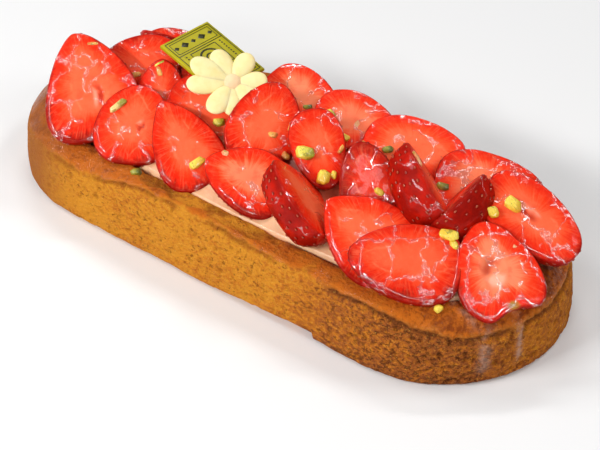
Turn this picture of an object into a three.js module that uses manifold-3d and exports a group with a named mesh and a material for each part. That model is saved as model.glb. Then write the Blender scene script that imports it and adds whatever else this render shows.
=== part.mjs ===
// Strawberry slab tart: an oblong pastry with round ends, a mound of pink cream in its top, and halved
// strawberries laid over the cream with their cut faces up. Pistachio nibs lie on the fruit, with a white
// chocolate flower and a flat green chocolate plaque.
// Millimetres, +Z up. +X runs along the slab to its darker end, -Y is the long side that the fruit faces.
// The origin is on the ground under the middle of the slab.
import * as THREE from "three";
import { mergeVertices } from "three/addons/utils/BufferGeometryUtils.js";
import Module from "manifold-3d";

// Driving dimensions of the pastry
const SLAB_LENGTH = 228;
const SLAB_WIDTH = 92;
const WALL_LEAN = 1.6;
const EDGE_AT_ENDS = 20.5;
const EDGE_AT_SIDE = 27;
const SIDE_SWELL = 1.7;
const RIM_HEIGHT = 27.4;
const BAND_AT_SIDE = 11.5;
const BAND_AT_ENDS = 14;
const RECESS_FLOOR = 21;
const RECESS_SLOPE = 0.6;
const FOOT_INSET = 1.4;
const CRUST_ROUGHNESS = 0.35;

// A piece broken off the lower front edge: where it starts and ends along the slab, how high it rises at each
// end, and how deep it goes in. inner is the share of the rise left at its inner corners and drawIn how far
// they are drawn in. shallow is the share of the depth at its middle. margin is how far the cut starts outside
// the slab.
const CHIP = {
  from: 3,
  to: 47,
  rise: [0.9, 3],
  depth: 3.5,
  inner: [0.3, 0.8, 0.4],
  drawIn: [2, 1],
  shallow: 0.7,
  margin: 1,
};

// Driving dimensions of the cream
const CREAM_DOME = 11;
const CREAM_RIPPLE = 0.5;

// Clearance between two pieces that touch
const GAP = 0.3;

// Vertices closer to a flat surface than this are left out after a cut
const SMOOTHING = 0.04;

// Mesh steps: around a round end, along a straight side, along a berry and round its back, and those by which
// a berry's widest place is found
const END_STEPS = 18;
const SIDE_STEPS = 14;
const BERRY_STEPS = 10;
const BACK_STEPS = 6;
const SEARCH_STEPS = 180;

// Colours, roughness and metalness of the finishes
const FINISHES = {
  crust: { color: 0xb8752f, roughness: 0.75, metalness: 0 },
  cream: { color: 0xf0d2c2, roughness: 0.45, metalness: 0 },
  berry: { color: 0xd32a1c, roughness: 0.2, metalness: 0 },
  flower: { color: 0xf6e6b4, roughness: 0.4, metalness: 0 },
  plaque: { color: 0xa9b032, roughness: 0.4, metalness: 0 },
};

// Halved strawberries, in the order in which they are laid. at is the middle of the cut face. faces is the
// azimuth of the cut face (0 towards -Y, 90 towards +X) and its elevation. turn leans the tip clockwise from
// uphill. size is length, width and depth. form is how much the tip narrows, then the powers that round the
// tip and the stem end: below 1 they are blunt, above 1 pointed. bend bows the berry sideways, and dimple
// sinks the stem end.
const BERRIES = {
  rear_1: { at: [-78, 27, 36], faces: [195, 50], turn: 6, size: [33, 26, 11], form: [0.25, 0.9, 0.9] },
  rear_2: { at: [-50, 28, 36], faces: [176, 48], turn: -8, size: [32, 27, 11], form: [0.3, 1, 0.8] },
  rear_3: { at: [-21, 28, 36], faces: [182, 50], turn: 10, size: [33, 26, 11], form: [0.35, 1.1, 0.8] },
  rear_4: { at: [8, 28, 36], faces: [178, 47], turn: -5, size: [31, 28, 11], form: [0.2, 0.9, 0.8] },
  rear_5: { at: [38, 28, 36], faces: [184, 49], turn: 12, size: [33, 26, 11], form: [0.35, 1, 0.8] },
  rear_6: { at: [67, 27, 36], faces: [172, 48], turn: -10, size: [32, 27, 11], form: [0.3, 0.9, 0.8] },

  back_1: { at: [-64, 14, 40], faces: [25, 66], turn: 99, size: [34, 25, 12], form: [0.2, 1, 0.8] },
  back_2: { at: [-40, 12, 45], faces: [20, 78], turn: 95, size: [30, 26, 12], form: [0.25, 0.9, 0.9] },
  back_3: { at: [-5.4, 14.8, 46.6], faces: [30, 70], turn: 124, size: [32, 24, 12], form: [0.2, 0.85, 0.75] },
  back_4: { at: [19.5, 13, 48], faces: [30, 70], turn: 100, size: [30, 26, 12], form: [0.25, 0.85, 0.75] },
  back_5: { at: [45.5, 13, 47], faces: [35, 70], turn: 102, size: [36, 28, 12], form: [0.15, 0.62, 0.8] },
  back_6: { at: [76, 15, 44.5], faces: [40, 70], turn: 104, size: [38, 28, 12], form: [0.2, 0.8, 0.7] },

  middle_1: { at: [-68.5, -1.5, 43.5], faces: [20, 58], turn: -94, size: [30, 25, 12], form: [0.2, 0.9, 0.8] },
  middle_2: { at: [-52, -9, 40], faces: [25, 45], turn: -9, size: [27, 20, 11], form: [0.2, 1, 0.8] },
  middle_3: { at: [-28.5, -8.5, 40.5], faces: [35, 55], turn: 147, size: [37, 26, 12], form: [0.3, 0.9, 0.9] },
  middle_4: { at: [-4.5, -6.5, 47], faces: [45, 50], turn: 26, size: [32, 26, 13], form: [0.2, 1, 0.8] },
  middle_5: { at: [20.7, -7.9, 48.2], faces: [45, 50], turn: 172, size: [29, 19.5, 11], form: [0.2, 0.9, 0.8] },
  middle_6: { at: [42, -8, 43.5], faces: [25, 35], turn: -22, size: [28, 22, 12], form: [0.3, 0.9, 0.8] },
  middle_7: { at: [62.9, -0.4, 49], faces: [140, 30], turn: 38, size: [31, 27, 14], form: [0.35, 1.2, 0.8] },
  end: { at: [96, 11.2, 42.8], faces: [50, 60], turn: 142, size: [39, 24, 13], form: [0.1, 0.8, 0.75] },
  middle_8: { at: [72.2, 0.1, 45.8], faces: [-82, 39], turn: -46, size: [26, 22, 14], form: [0.35, 1, 0.8] },

  front_1: {
    at: [-75.5, -25, 43], faces: [28, 56], turn: -20, size: [43, 35, 13], form: [0.4, 1, 0.75],
    bend: -2.5,
  },
  front_2: { at: [-50.5, -25.5, 37], faces: [30, 58], turn: 0, size: [31, 29, 12], form: [0.15, 0.9, 0.75] },
  front_3: { at: [-27.5, -24.5, 38.3], faces: [35, 56], turn: -30, size: [37, 25, 12], form: [0.4, 1.3, 0.8] },
  front_4: {
    at: [2.5, -26, 36.7], faces: [30, 58], turn: -66, size: [33, 24.5, 12], form: [0.25, 1.1, 0.8],
    bend: -1,
  },
  front_5: { at: [29.2, -25.5, 41.6], faces: [132, 43], turn: 27, size: [33, 26, 13], form: [0.3, 1, 0.8] },
  front_6: { at: [56, -25.5, 37.5], faces: [35, 56], turn: -50, size: [39, 30, 12], form: [0.3, 1.3, 0.75] },
  front_7: { at: [72.5, -28, 37], faces: [38, 60], turn: -80, size: [38, 28, 13], form: [0.25, 1, 0.6] },
  front_8: {
    at: [97.7, -10.3, 35], faces: [45, 54], turn: -16, size: [34, 29, 12], form: [0.3, 0.9, 0.7],
    bend: 1, dimple: 2.5,
  },
};

// Pistachio nibs on the berries. on is the berry, at is the place on its cut face, towards the tip and across
// it, size is length, width and height, and turn is the heading of the length within the face.
const BERRY_NIBS = [
  { on: "front_1", at: [15.5, -6], size: [5, 1.6, 1.4], turn: 80 },
  { on: "front_2", at: [6.5, 6.8], size: [7.6, 2.8, 2.4], turn: -44 },
  { on: "front_3", at: [-9.4, -1], size: [6.6, 3.3, 2.6], turn: -84 },
  { on: "middle_3", at: [3.7, 1.4], size: [4.6, 3.4, 2.6], turn: 59 },
  { on: "middle_2", at: [9, 0.8], size: [4.4, 2.2, 1.5], turn: 19 },
  { on: "middle_1", at: [0.7, 5.2], size: [4.6, 2.4, 2], turn: 19 },
  { on: "middle_2", at: [11.9, 0.8], size: [4.6, 1.4, 1.2], turn: -63 },
  { on: "front_4", at: [11.6, -5], size: [2.8, 2.2, 1.4], turn: -1 },
  { on: "middle_4", at: [-3, -4], size: [3.6, 2.5, 1.6], turn: -78 },
  { on: "middle_4", at: [2.3, -8.4], size: [4.5, 1.5, 1.4], turn: 6 },
  { on: "middle_4", at: [-8.5, -11], size: [3.6, 2.6, 2], turn: 66 },
  { on: "middle_5", at: [0.8, -5.2], size: [7, 5.2, 3.6], turn: 74 },
  { on: "back_3", at: [5, -2.1], size: [3.6, 2.4, 1.8], turn: 40 },
  { on: "back_4", at: [-8.5, 0.7], size: [4.6, 2.4, 2], turn: -26 },
  { on: "back_4", at: [-1, -8.1], size: [4.9, 3.3, 2.4], turn: -7 },
  { on: "back_5", at: [-16.6, -1.5], size: [3, 1.3, 1.2], turn: -19 },
  { on: "middle_5", at: [1.9, 7.3], size: [3.8, 1.7, 1.4], turn: -42 },
  { on: "back_5", at: [-14, -3.5], size: [3.8, 1.9, 1.6], turn: -3 },
  { on: "back_5", at: [-8.3, -2.3], size: [4.3, 3, 2.2], turn: 26 },
  { on: "back_4", at: [1.9, -1.1], size: [3.8, 3, 1.2], turn: 51 },
  { on: "middle_5", at: [10.6, -1], size: [5.6, 4.8, 3.6], turn: -32 },
  { on: "middle_5", at: [10.3, 2.8], size: [3.2, 2.4, 1.8], turn: -32 },
  { on: "middle_6", at: [-4, -3], size: [4, 2.6, 2], turn: 47 },
  { on: "middle_7", at: [9, 4.8], size: [6.5, 2.2, 2], turn: -12 },
  { on: "back_6", at: [-15.2, -4.1], size: [4.7, 3, 2.2], turn: -5 },
  { on: "front_7", at: [-12.8, -11.2], size: [7, 4.2, 3.2], turn: 0 },
  { on: "front_7", at: [-15, -8.5], size: [4, 2.6, 2.2], turn: -56 },
  { on: "end", at: [-10.4, -8], size: [4.8, 4, 3], turn: -19 },
  { on: "end", at: [-7.3, -1.1], size: [6.8, 4.8, 3.6], turn: 12 },
  { on: "front_8", at: [5.1, -7.7], size: [2.3, 1.6, 1.2], turn: -65 },
];

// Pistachio nibs on the rim of the crust, placed by their middles
const RIM_NIBS = [
  { at: [-39, -37.5, 27.2], size: [4.4, 3.4, 2.8], turn: 30 },
  { at: [89, -31.5, 27], size: [3.8, 3.4, 2.6], turn: 70 },
];

// How deep a nib lies in what it is on
const NIB_SINK = 0.8;

// How a nib's corners are pushed about: the least and the spread, within its face and upwards
const NIB_CORNERS = { within: [0.85, 0.35], upwards: [0.9, 0.2] };

// White chocolate flower: the place of its centre, the way it faces, and its petals by heading and reach. The
// petals start at petalRoot from the centre and rise by the petalLift degrees in turn.
const FLOWER = {
  at: [-24.5, -0.5, 52.5],
  faces: [38, 60],
  petals: [
    { heading: 87, reach: 12.5, width: 7.6 },
    { heading: 30, reach: 12.5, width: 7.6 },
    { heading: -28, reach: 14.5, width: 7.8 },
    { heading: -63, reach: 17, width: 8 },
    { heading: -94, reach: 16.5, width: 8 },
    { heading: -150, reach: 15, width: 8 },
    { heading: 180, reach: 13.5, width: 6.6 },
    { heading: 135, reach: 12.5, width: 7.4 },
  ],
  petalDepth: 3.4,
  petalRoot: 2,
  petalLift: [3, 7],
  eyeWidth: 7.4,
  eyeDome: 0.72,
};

// Flat chocolate plaque lying under the flower: the place of its middle, the way it faces, and its size
const PLAQUE = { at: [-42.7, 9.5, 50.5], faces: [84, 77], turn: 180, size: [31, 23.5, 1.7], bevel: 0.35 };

const wasm = await Module();
wasm.setup();

const radians = THREE.MathUtils.degToRad;
const smooth = THREE.MathUtils.smoothstep;

// Seeded pseudo-random numbers between 0 and 1
function randomStream(seed) {
  let state = seed;
  return () => {
    state = (state * 1664525 + 1013904223) % 4294967296;
    return state / 4294967296;
  };
}

// A geometry from a flat list of coordinates and a list of triangle corners
function geometryOf(points, corners) {
  const geometry = new THREE.BufferGeometry();
  geometry.setAttribute("position", new THREE.Float32BufferAttribute(points, 3));
  geometry.setIndex(corners);
  return geometry;
}

// The solid enclosed by a closed geometry
function solidOf(geometry) {
  const bare = geometry.clone();
  bare.deleteAttribute("normal");
  bare.deleteAttribute("uv");
  const merged = mergeVertices(bare, 1e-4);
  const mesh = new wasm.Mesh({
    numProp: 3,
    vertProperties: new Float32Array(merged.attributes.position.array),
    triVerts: new Uint32Array(merged.index.array),
  });
  return new wasm.Manifold(mesh);
}

// The largest piece of a solid, without scraps that a cut leaves
function largestPiece(solid) {
  const pieces = solid.decompose();
  pieces.sort((a, b) => b.volume() - a.volume());
  return pieces[0];
}

// The geometry of a solid
function surfaceOf(solid) {
  const mesh = solid.getMesh();
  return geometryOf(Array.from(mesh.vertProperties), Array.from(mesh.triVerts));
}

// A point of an oblong with round ends: its half length, its end radius, and the step around it
function oblongPoint(halfLength, radius, step) {
  const half = halfLength - radius;
  const sideEnd = SIDE_STEPS;
  const nearEnd = sideEnd + END_STEPS;
  const backEnd = nearEnd + SIDE_STEPS;
  if (step < sideEnd) {
    return [half * ((2 * step) / SIDE_STEPS - 1), -radius];
  }
  if (step < nearEnd) {
    const angle = (Math.PI * (step - sideEnd)) / END_STEPS;
    return [half + radius * Math.sin(angle), -radius * Math.cos(angle)];
  }
  if (step < backEnd) {
    return [half * (1 - (2 * (step - nearEnd)) / SIDE_STEPS), radius];
  }
  const angle = (Math.PI * (step - backEnd)) / END_STEPS;
  return [-half - radius * Math.sin(angle), radius * Math.cos(angle)];
}

const OBLONG_STEPS = 2 * (SIDE_STEPS + END_STEPS);

// A closed skin through rings of equal count, with a flat cap on the first and the last ring
function skinOfRings(rings) {
  const count = rings[0].length;
  const points = rings.flat(2);
  const corners = [];
  for (let ring = 0; ring + 1 < rings.length; ring += 1) {
    for (let step = 0; step < count; step += 1) {
      const next = (step + 1) % count;
      const a = ring * count + step;
      const b = ring * count + next;
      corners.push(a, b, b + count, a, b + count, a + count);
    }
  }
  const last = (rings.length - 1) * count;
  const flat = (ring) => ring.map(([x, y]) => new THREE.Vector2(x, y));
  for (const [a, b, c] of THREE.ShapeUtils.triangulateShape(flat(rings[0]), [])) {
    corners.push(a, c, b);
  }
  for (const [a, b, c] of THREE.ShapeUtils.triangulateShape(flat(rings[rings.length - 1]), [])) {
    corners.push(last + a, last + b, last + c);
  }
  return geometryOf(points, corners);
}

// Height of the outer edge of the crust at a place along the slab: high along the sides, lower at the ends
function edgeHeight(x) {
  const side = EDGE_AT_SIDE + SIDE_SWELL * (1 - smooth(x, -5, 40));
  const nearDrop = smooth(x, 70, 100);
  const farDrop = 0.78 * (1 - smooth(x, -62, -28)) + 0.22 * (1 - smooth(x, -108, -80));
  return side + (EDGE_AT_ENDS - side) * Math.max(nearDrop, farDrop);
}

// The pastry: a solid slab with a shallow recess in its top
function crustGeometry() {
  const random = randomStream(7);
  const halfLength = SLAB_LENGTH / 2;
  const radius = SLAB_WIDTH / 2;
  const ring = (inset, endInset, height, rough) => {
    const points = [];
    for (let step = 0; step < OBLONG_STEPS; step += 1) {
      const off = (random() - 0.5) * 2 * rough;
      const shift = inset + Math.max(off, 0);
      const [x, y] = oblongPoint(halfLength - endInset - shift, radius - shift, step);
      points.push([x, y, height(x) + (random() - 0.5) * rough]);
    }
    return points;
  };
  const wall = (share) => (x) => edgeHeight(x) * share;
  const band = (share) => (x) => {
    const edge = edgeHeight(x) + 0.6;
    return edge + (RIM_HEIGHT - edge) * share;
  };
  const across = BAND_AT_SIDE - WALL_LEAN;
  const extra = BAND_AT_ENDS - BAND_AT_SIDE;
  const rings = [
    ring(FOOT_INSET, 0, () => 0, 0),
    ring(FOOT_INSET / 4, 0, () => 1.6, 0),
    ring(0, 0, wall(0.3), 0),
    ring(0.3, 0, wall(0.55), CRUST_ROUGHNESS),
    ring(0.8, 0, wall(0.8), CRUST_ROUGHNESS),
    ring(WALL_LEAN, 0, wall(0.97), CRUST_ROUGHNESS),
    ring(WALL_LEAN + 1, 0, band(0), CRUST_ROUGHNESS),
    ring(WALL_LEAN + across * 0.35, extra * 0.35, band(0.5), CRUST_ROUGHNESS),
    ring(WALL_LEAN + across * 0.7, extra * 0.7, band(0.85), CRUST_ROUGHNESS),
    ring(BAND_AT_SIDE, extra, () => RIM_HEIGHT, 0),
    ring(BAND_AT_SIDE + 0.4, extra, () => RIM_HEIGHT - 1, 0),
    ring(BAND_AT_SIDE + RECESS_SLOPE, extra, () => RECESS_FLOOR, 0),
  ];
  return skinOfRings(rings);
}

// What is broken off the lower front edge
function chipGeometry() {
  const front = -SLAB_WIDTH / 2;
  const outside = front - CHIP.margin;
  const inside = front + CHIP.depth;
  const [low, high] = CHIP.rise;
  const [atStart, atMiddle, atEnd] = CHIP.inner;
  const ring = (heights) => {
    const [start, end, innerEnd, middle, innerStart] = heights;
    return [
      [CHIP.from, outside, start],
      [CHIP.to, outside, end],
      [CHIP.to - CHIP.drawIn[1], inside, innerEnd],
      [(CHIP.from + CHIP.to) / 2, front + CHIP.depth * CHIP.shallow, middle],
      [CHIP.from + CHIP.drawIn[0], inside, innerStart],
    ];
  };
  const below = Array(5).fill(-CHIP.margin);
  return skinOfRings([ring(below), ring([low, high, high * atEnd, low * atMiddle, low * atStart])]);
}

// The cream: a low mound that fills the recess up to the rim. lift raises it and widens it over the rim, for
// cutting what lies on it.
function creamGeometry(lift = 0) {
  const inset = RECESS_SLOPE + GAP - 4 * lift;
  const halfLength = SLAB_LENGTH / 2 - BAND_AT_ENDS - inset;
  const radius = SLAB_WIDTH / 2 - BAND_AT_SIDE - inset;
  const ring = (share, bottom) => {
    const points = [];
    for (let step = 0; step < OBLONG_STEPS; step += 1) {
      const [x, y] = oblongPoint(halfLength - radius * (1 - share), radius * share, step);
      const dome = CREAM_DOME * Math.pow(1 - share * share, 1.2);
      const ripple = CREAM_RIPPLE * Math.sin(x * 0.23) * Math.cos(y * 0.31) * Math.sin(Math.PI * share);
      points.push([x, y, bottom ? RECESS_FLOOR + GAP : RIM_HEIGHT + dome + ripple + lift]);
    }
    return points;
  };
  return skinOfRings([
    ring(1, true),
    ring(1, false),
    ring(0.93, false),
    ring(0.82, false),
    ring(0.66, false),
    ring(0.45, false),
    ring(0.2, false),
  ]);
}

// The turn of a piece whose face looks along an azimuth and an elevation, with its own +X leaning by turn
function poseOf([azimuth, elevation], turn) {
  const a = radians(azimuth);
  const e = radians(elevation);
  const normal = new THREE.Vector3(Math.sin(a) * Math.cos(e), -Math.cos(a) * Math.cos(e), Math.sin(e));
  const right = new THREE.Vector3(Math.cos(a), Math.sin(a), 0);
  const uphill = new THREE.Vector3().crossVectors(normal, right);
  const lean = radians(turn);
  const along = uphill.multiplyScalar(Math.cos(lean)).addScaledVector(right, Math.sin(lean));
  const across = new THREE.Vector3().crossVectors(normal, along);
  return new THREE.Matrix4().makeBasis(along, across, normal);
}

// Half the width of a berry at an angle round its outline, 0 at the tip, before it is scaled to its size
function berrySwell([taper, tip, shoulder], angle) {
  const power = shoulder + ((tip - shoulder) * (1 + Math.cos(angle))) / 2;
  return Math.pow(Math.sin(angle), power) * (1 - taper * Math.cos(angle));
}

// A halved strawberry in its own frame: tip towards +X, cut face in the XY plane, rounded back below it.
// grow enlarges it all round.
function berryGeometry(berry, grow = 0) {
  const [length, width, depth] = berry.size;
  const { form, bend = 0, dimple = 0 } = berry;
  const angles = Array.from({ length: SEARCH_STEPS }, (_, i) => (Math.PI * i) / SEARCH_STEPS);
  const full = Math.max(...angles.map((angle) => berrySwell(form, angle)));
  const points = [];
  const place = (x, y, z) => points.push(x, y + bend * (1 - Math.pow((2 * x) / length, 2)), z + grow);
  place(length / 2 + grow, 0, 0);
  for (let row = 1; row < BERRY_STEPS; row += 1) {
    const angle = (Math.PI * row) / BERRY_STEPS;
    const x = (length / 2 + grow) * Math.cos(angle);
    const swell = berrySwell(form, angle) / full;
    for (let step = 0; step <= BACK_STEPS; step += 1) {
      const round = (Math.PI * step) / BACK_STEPS;
      const y = ((width / 2) * swell + grow) * Math.cos(round);
      place(x, y, -(depth * swell + 2 * grow) * Math.sin(round));
    }
  }
  place(-length / 2 - grow + dimple, 0, 0);
  const count = BACK_STEPS + 1;
  const last = 1 + count * (BERRY_STEPS - 1);
  const corners = [];
  for (let step = 0; step < BACK_STEPS; step += 1) {
    corners.push(0, step + 2, step + 1);
    const end = last - count + step;
    corners.push(last, end, end + 1);
  }
  corners.push(0, 1, count);
  corners.push(last, last - 1, last - count);
  for (let row = 0; row + 2 < BERRY_STEPS; row += 1) {
    const here = 1 + row * count;
    const next = here + count;
    for (let step = 0; step < BACK_STEPS; step += 1) {
      corners.push(here + step, here + step + 1, next + step + 1);
      corners.push(here + step, next + step + 1, next + step);
    }
    corners.push(here, next, next + BACK_STEPS, here, next + BACK_STEPS, here + BACK_STEPS);
  }
  const geometry = geometryOf(points, corners);
  geometry.applyMatrix4(poseOf(berry.faces, berry.turn));
  geometry.translate(...berry.at);
  return geometry;
}

// An angular nib, lying in the XY plane with its length along X
function nibGeometry(nib, random) {
  const [length, width, height] = nib.size;
  const chunk = new THREE.IcosahedronGeometry(1, 0);
  chunk.deleteAttribute("normal");
  chunk.deleteAttribute("uv");
  const geometry = mergeVertices(chunk);
  const place = geometry.attributes.position;
  const { within, upwards } = NIB_CORNERS;
  for (let i = 0; i < place.count; i += 1) {
    const swell = within[0] + within[1] * random();
    const lift = upwards[0] + upwards[1] * random();
    place.setXYZ(i, place.getX(i) * swell, place.getY(i) * swell, place.getZ(i) * lift);
  }
  geometry.scale(length / 2, width / 2, height / 2);
  geometry.rotateZ(radians(nib.turn));
  geometry.translate(0, 0, height / 2 - NIB_SINK);
  return geometry;
}

// The white chocolate flower: flattened oval petals that overlap round a domed eye
function flowerSolid() {
  const parts = FLOWER.petals.map((petal, i) => {
    const geometry = new THREE.SphereGeometry(1, 8, 5);
    const half = (petal.reach - FLOWER.petalRoot) / 2;
    geometry.scale(half, petal.width / 2, FLOWER.petalDepth / 2);
    geometry.rotateY(radians(FLOWER.petalLift[i % 2]));
    geometry.translate(FLOWER.petalRoot + half, 0, 0);
    geometry.rotateZ(radians(-petal.heading));
    return solidOf(geometry);
  });
  const eye = new THREE.SphereGeometry(1, 10, 6);
  eye.scale(FLOWER.eyeWidth / 2, FLOWER.eyeWidth / 2, FLOWER.petalDepth * FLOWER.eyeDome);
  parts.push(solidOf(eye));
  const flower = parts.reduce((whole, part) => whole.add(part));
  const geometry = surfaceOf(flower);
  geometry.applyMatrix4(poseOf(FLOWER.faces, 0));
  geometry.translate(...FLOWER.at);
  return solidOf(geometry);
}

// The plaque with small bevels, enlarged all round by grow
function plaqueGeometry(grow = 0) {
  const [length, width, thickness] = PLAQUE.size.map((side) => side + 2 * grow);
  const { bevel } = PLAQUE;
  const ring = (inset, z) => {
    const x = length / 2 - inset;
    const y = width / 2 - inset;
    return [
      [-x, -y, z],
      [x, -y, z],
      [x, y, z],
      [-x, y, z],
    ];
  };
  const half = thickness / 2;
  const geometry = skinOfRings([
    ring(bevel, -half),
    ring(0, bevel - half),
    ring(0, half - bevel),
    ring(bevel, half),
  ]);
  geometry.applyMatrix4(poseOf(PLAQUE.faces, PLAQUE.turn));
  geometry.translate(...PLAQUE.at);
  return geometry;
}

// Whether the boxes round two solids meet
function boxesMeet(a, b) {
  const p = a.boundingBox();
  const q = b.boundingBox();
  return [0, 1, 2].every((axis) => p.min[axis] < q.max[axis] && q.min[axis] < p.max[axis]);
}

// What is left of a solid outside the others
function clearOf(solid, others) {
  const near = others.filter((other) => boxesMeet(solid, other));
  return near.reduce((rest, other) => rest.subtract(other), solid);
}

// The berries, each cut away where it lies on those laid before it, on the cream and on the crust
function layBerries(crust) {
  const floor = [solidOf(creamGeometry(GAP)), crust.translate([0, 0, GAP])];
  const laid = [];
  return Object.entries(BERRIES).map(([name, berry]) => {
    const solid = largestPiece(clearOf(solidOf(berryGeometry(berry)), [...floor, ...laid]));
    const grown = solidOf(berryGeometry(berry, GAP));
    laid.push(grown);
    return { name, berry, solid, grown };
  });
}

// A nib in place on the cut face of its berry
function placedNib(nib, shape, berry) {
  const geometry = shape.clone();
  geometry.translate(nib.at[0], nib.at[1], 0);
  geometry.applyMatrix4(poseOf(berry.faces, berry.turn));
  geometry.translate(...berry.at);
  return solidOf(geometry);
}

// A named mesh with its own material
function meshOf(name, geometry, finish) {
  const mesh = new THREE.Mesh(geometry, new THREE.MeshStandardMaterial(FINISHES[finish]));
  mesh.name = name;
  return mesh;
}

const random = randomStream(11);
const slab = solidOf(crustGeometry()).subtract(solidOf(chipGeometry()));
const laid = layBerries(slab);
const grownBerries = laid.map(({ grown }) => grown);
const grownPlaque = solidOf(plaqueGeometry(GAP));
const grownCream = solidOf(creamGeometry(GAP));

const berryNibs = BERRY_NIBS.map((nib) => {
  const { berry } = laid.find(({ name }) => name === nib.on);
  const others = laid.filter(({ name }) => name !== nib.on).map(({ grown }) => grown);
  const solid = placedNib(nib, nibGeometry(nib, random), berry);
  return { on: nib.on, solid: clearOf(solid, [...others, grownPlaque, grownCream]) };
});
const rimNibs = RIM_NIBS.map((nib) => {
  const geometry = nibGeometry(nib, random);
  geometry.translate(...nib.at);
  return clearOf(solidOf(geometry), grownBerries);
});
const around = solidOf(new THREE.OctahedronGeometry(GAP));
const nibShells = berryNibs.map(({ solid }) => solid.minkowskiSum(around));
const flower = largestPiece(clearOf(flowerSolid(), [...grownBerries, grownPlaque, ...nibShells]));

const tart = new THREE.Group();
tart.add(meshOf("crust", surfaceOf(rimNibs.reduce((whole, nib) => whole.add(nib), slab)), "crust"));
tart.add(meshOf("cream", creamGeometry(), "cream"));
for (const { name, solid } of laid) {
  const nibs = berryNibs.filter(({ on }) => on === name).map((nib) => nib.solid);
  const whole = nibs.reduce((sum, nib) => sum.add(nib), solid).subtract(grownPlaque);
  tart.add(meshOf(`strawberry_${name}`, surfaceOf(largestPiece(whole).simplify(SMOOTHING)), "berry"));
}
tart.add(meshOf("flower", surfaceOf(flower.simplify(SMOOTHING)), "flower"));
tart.add(meshOf("plaque", plaqueGeometry(), "plaque"));

export default tart;
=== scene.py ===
"""Strawberry slab tart: a browned crust, pink cream, glazed halved strawberries, nibs, a flower and a plaque.

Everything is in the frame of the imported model: +Z up, +X along the slab to its darker end, and -Y the long
side that the fruit faces. Tables of sizes are in millimetres, and every mesh is in metres.
"""
import logging
import math
from dataclasses import dataclass, field
from enum import Enum

import bmesh
import bpy
import numpy as np
from mathutils import Matrix, Vector


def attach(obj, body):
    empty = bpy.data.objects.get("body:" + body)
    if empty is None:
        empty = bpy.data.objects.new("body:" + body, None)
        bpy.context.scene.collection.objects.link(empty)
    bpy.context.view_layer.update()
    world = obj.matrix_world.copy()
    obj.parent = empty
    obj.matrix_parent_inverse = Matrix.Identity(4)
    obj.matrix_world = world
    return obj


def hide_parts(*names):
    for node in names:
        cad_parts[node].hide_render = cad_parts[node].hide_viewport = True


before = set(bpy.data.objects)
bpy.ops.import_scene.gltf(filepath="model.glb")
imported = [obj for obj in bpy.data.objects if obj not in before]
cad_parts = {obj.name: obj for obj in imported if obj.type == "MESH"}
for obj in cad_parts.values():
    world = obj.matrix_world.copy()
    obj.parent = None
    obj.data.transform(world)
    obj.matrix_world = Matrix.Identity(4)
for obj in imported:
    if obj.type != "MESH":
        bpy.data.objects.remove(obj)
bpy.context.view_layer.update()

LOG = logging.getLogger("tart")
MM = 0.001


def ease(value: np.ndarray, low: float, high: float) -> np.ndarray:
    """Rise smoothly from 0 at low to 1 at high.

    Args:
        value: Numbers to ease.
        low: Where the rise starts.
        high: Where it ends; it may lie below low for a fall.

    Returns:
        Numbers from 0 to 1.
    """
    share = np.clip((value - low) / (high - low), 0.0, 1.0)
    return share * share * (3.0 - 2.0 * share)


class Noise:
    """Seeded lattice noise in three dimensions."""

    def __init__(self, seed: int) -> None:
        """Fill the lattice.

        Args:
            seed: Seed of the random numbers.
        """
        source = np.random.default_rng(seed)
        self.table = source.permutation(256)
        self.values = source.uniform(-1.0, 1.0, 256)
        self.centres = source.uniform(0.0, 1.0, (256, 3))

    def _index(self, lattice: np.ndarray) -> np.ndarray:
        """Give the table entry of each lattice cell."""
        cell = lattice & 255
        first = self.table[cell[:, 0]]
        second = self.table[(first + cell[:, 1]) & 255]
        return self.table[(second + cell[:, 2]) & 255]

    def value(self, points: np.ndarray, size: float) -> np.ndarray:
        """Give smooth noise from -1 to 1.

        Args:
            points: Places, one per row.
            size: Size of a lattice cell.

        Returns:
            One number per point.
        """
        place = points / size
        cell = np.floor(place).astype(np.int64)
        part = place - cell
        part = part * part * (3.0 - 2.0 * part)
        total = np.zeros(len(points))
        for corner in range(8):
            offset = np.array([corner & 1, corner >> 1 & 1, corner >> 2 & 1])
            weight = np.prod(np.where(offset == 1, part, 1.0 - part), axis=1)
            total += weight * self.values[self._index(cell + offset)]
        return total

    def fractal(self, points: np.ndarray, size: float, octaves: int = 3) -> np.ndarray:
        """Add finer and weaker layers of noise.

        Args:
            points: Places, one per row.
            size: Cell size of the coarsest layer.
            octaves: Number of layers, each half the size and strength of the one before.

        Returns:
            One number per point, roughly from -1 to 1.
        """
        layers = [self.value(points + 7.3 * k * size, size / 2**k) / 2**k for k in range(octaves)]
        return sum(layers) / (2.0 - 2.0 ** (1 - octaves))

    def cells(self, points: np.ndarray, size: float) -> tuple[np.ndarray, np.ndarray]:
        """Find the nearest of the points scattered one to a cell.

        Args:
            points: Places, one per row.
            size: Size of a cell.

        Returns:
            The distance in cell sizes, and a random number from -1 to 1 that belongs to the nearest point.
        """
        place = points / size
        cell = np.floor(place).astype(np.int64)
        best = np.full(len(points), 9.0)
        mark = np.zeros(len(points))
        for step in range(27):
            offset = np.array([step % 3 - 1, step // 3 % 3 - 1, step // 9 - 1])
            index = self._index(cell + offset)
            away = np.linalg.norm(cell + offset + self.centres[index] - place, axis=1)
            mark = np.where(away < best, self.values[index], mark)
            best = np.minimum(best, away)
        return best, mark


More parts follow.
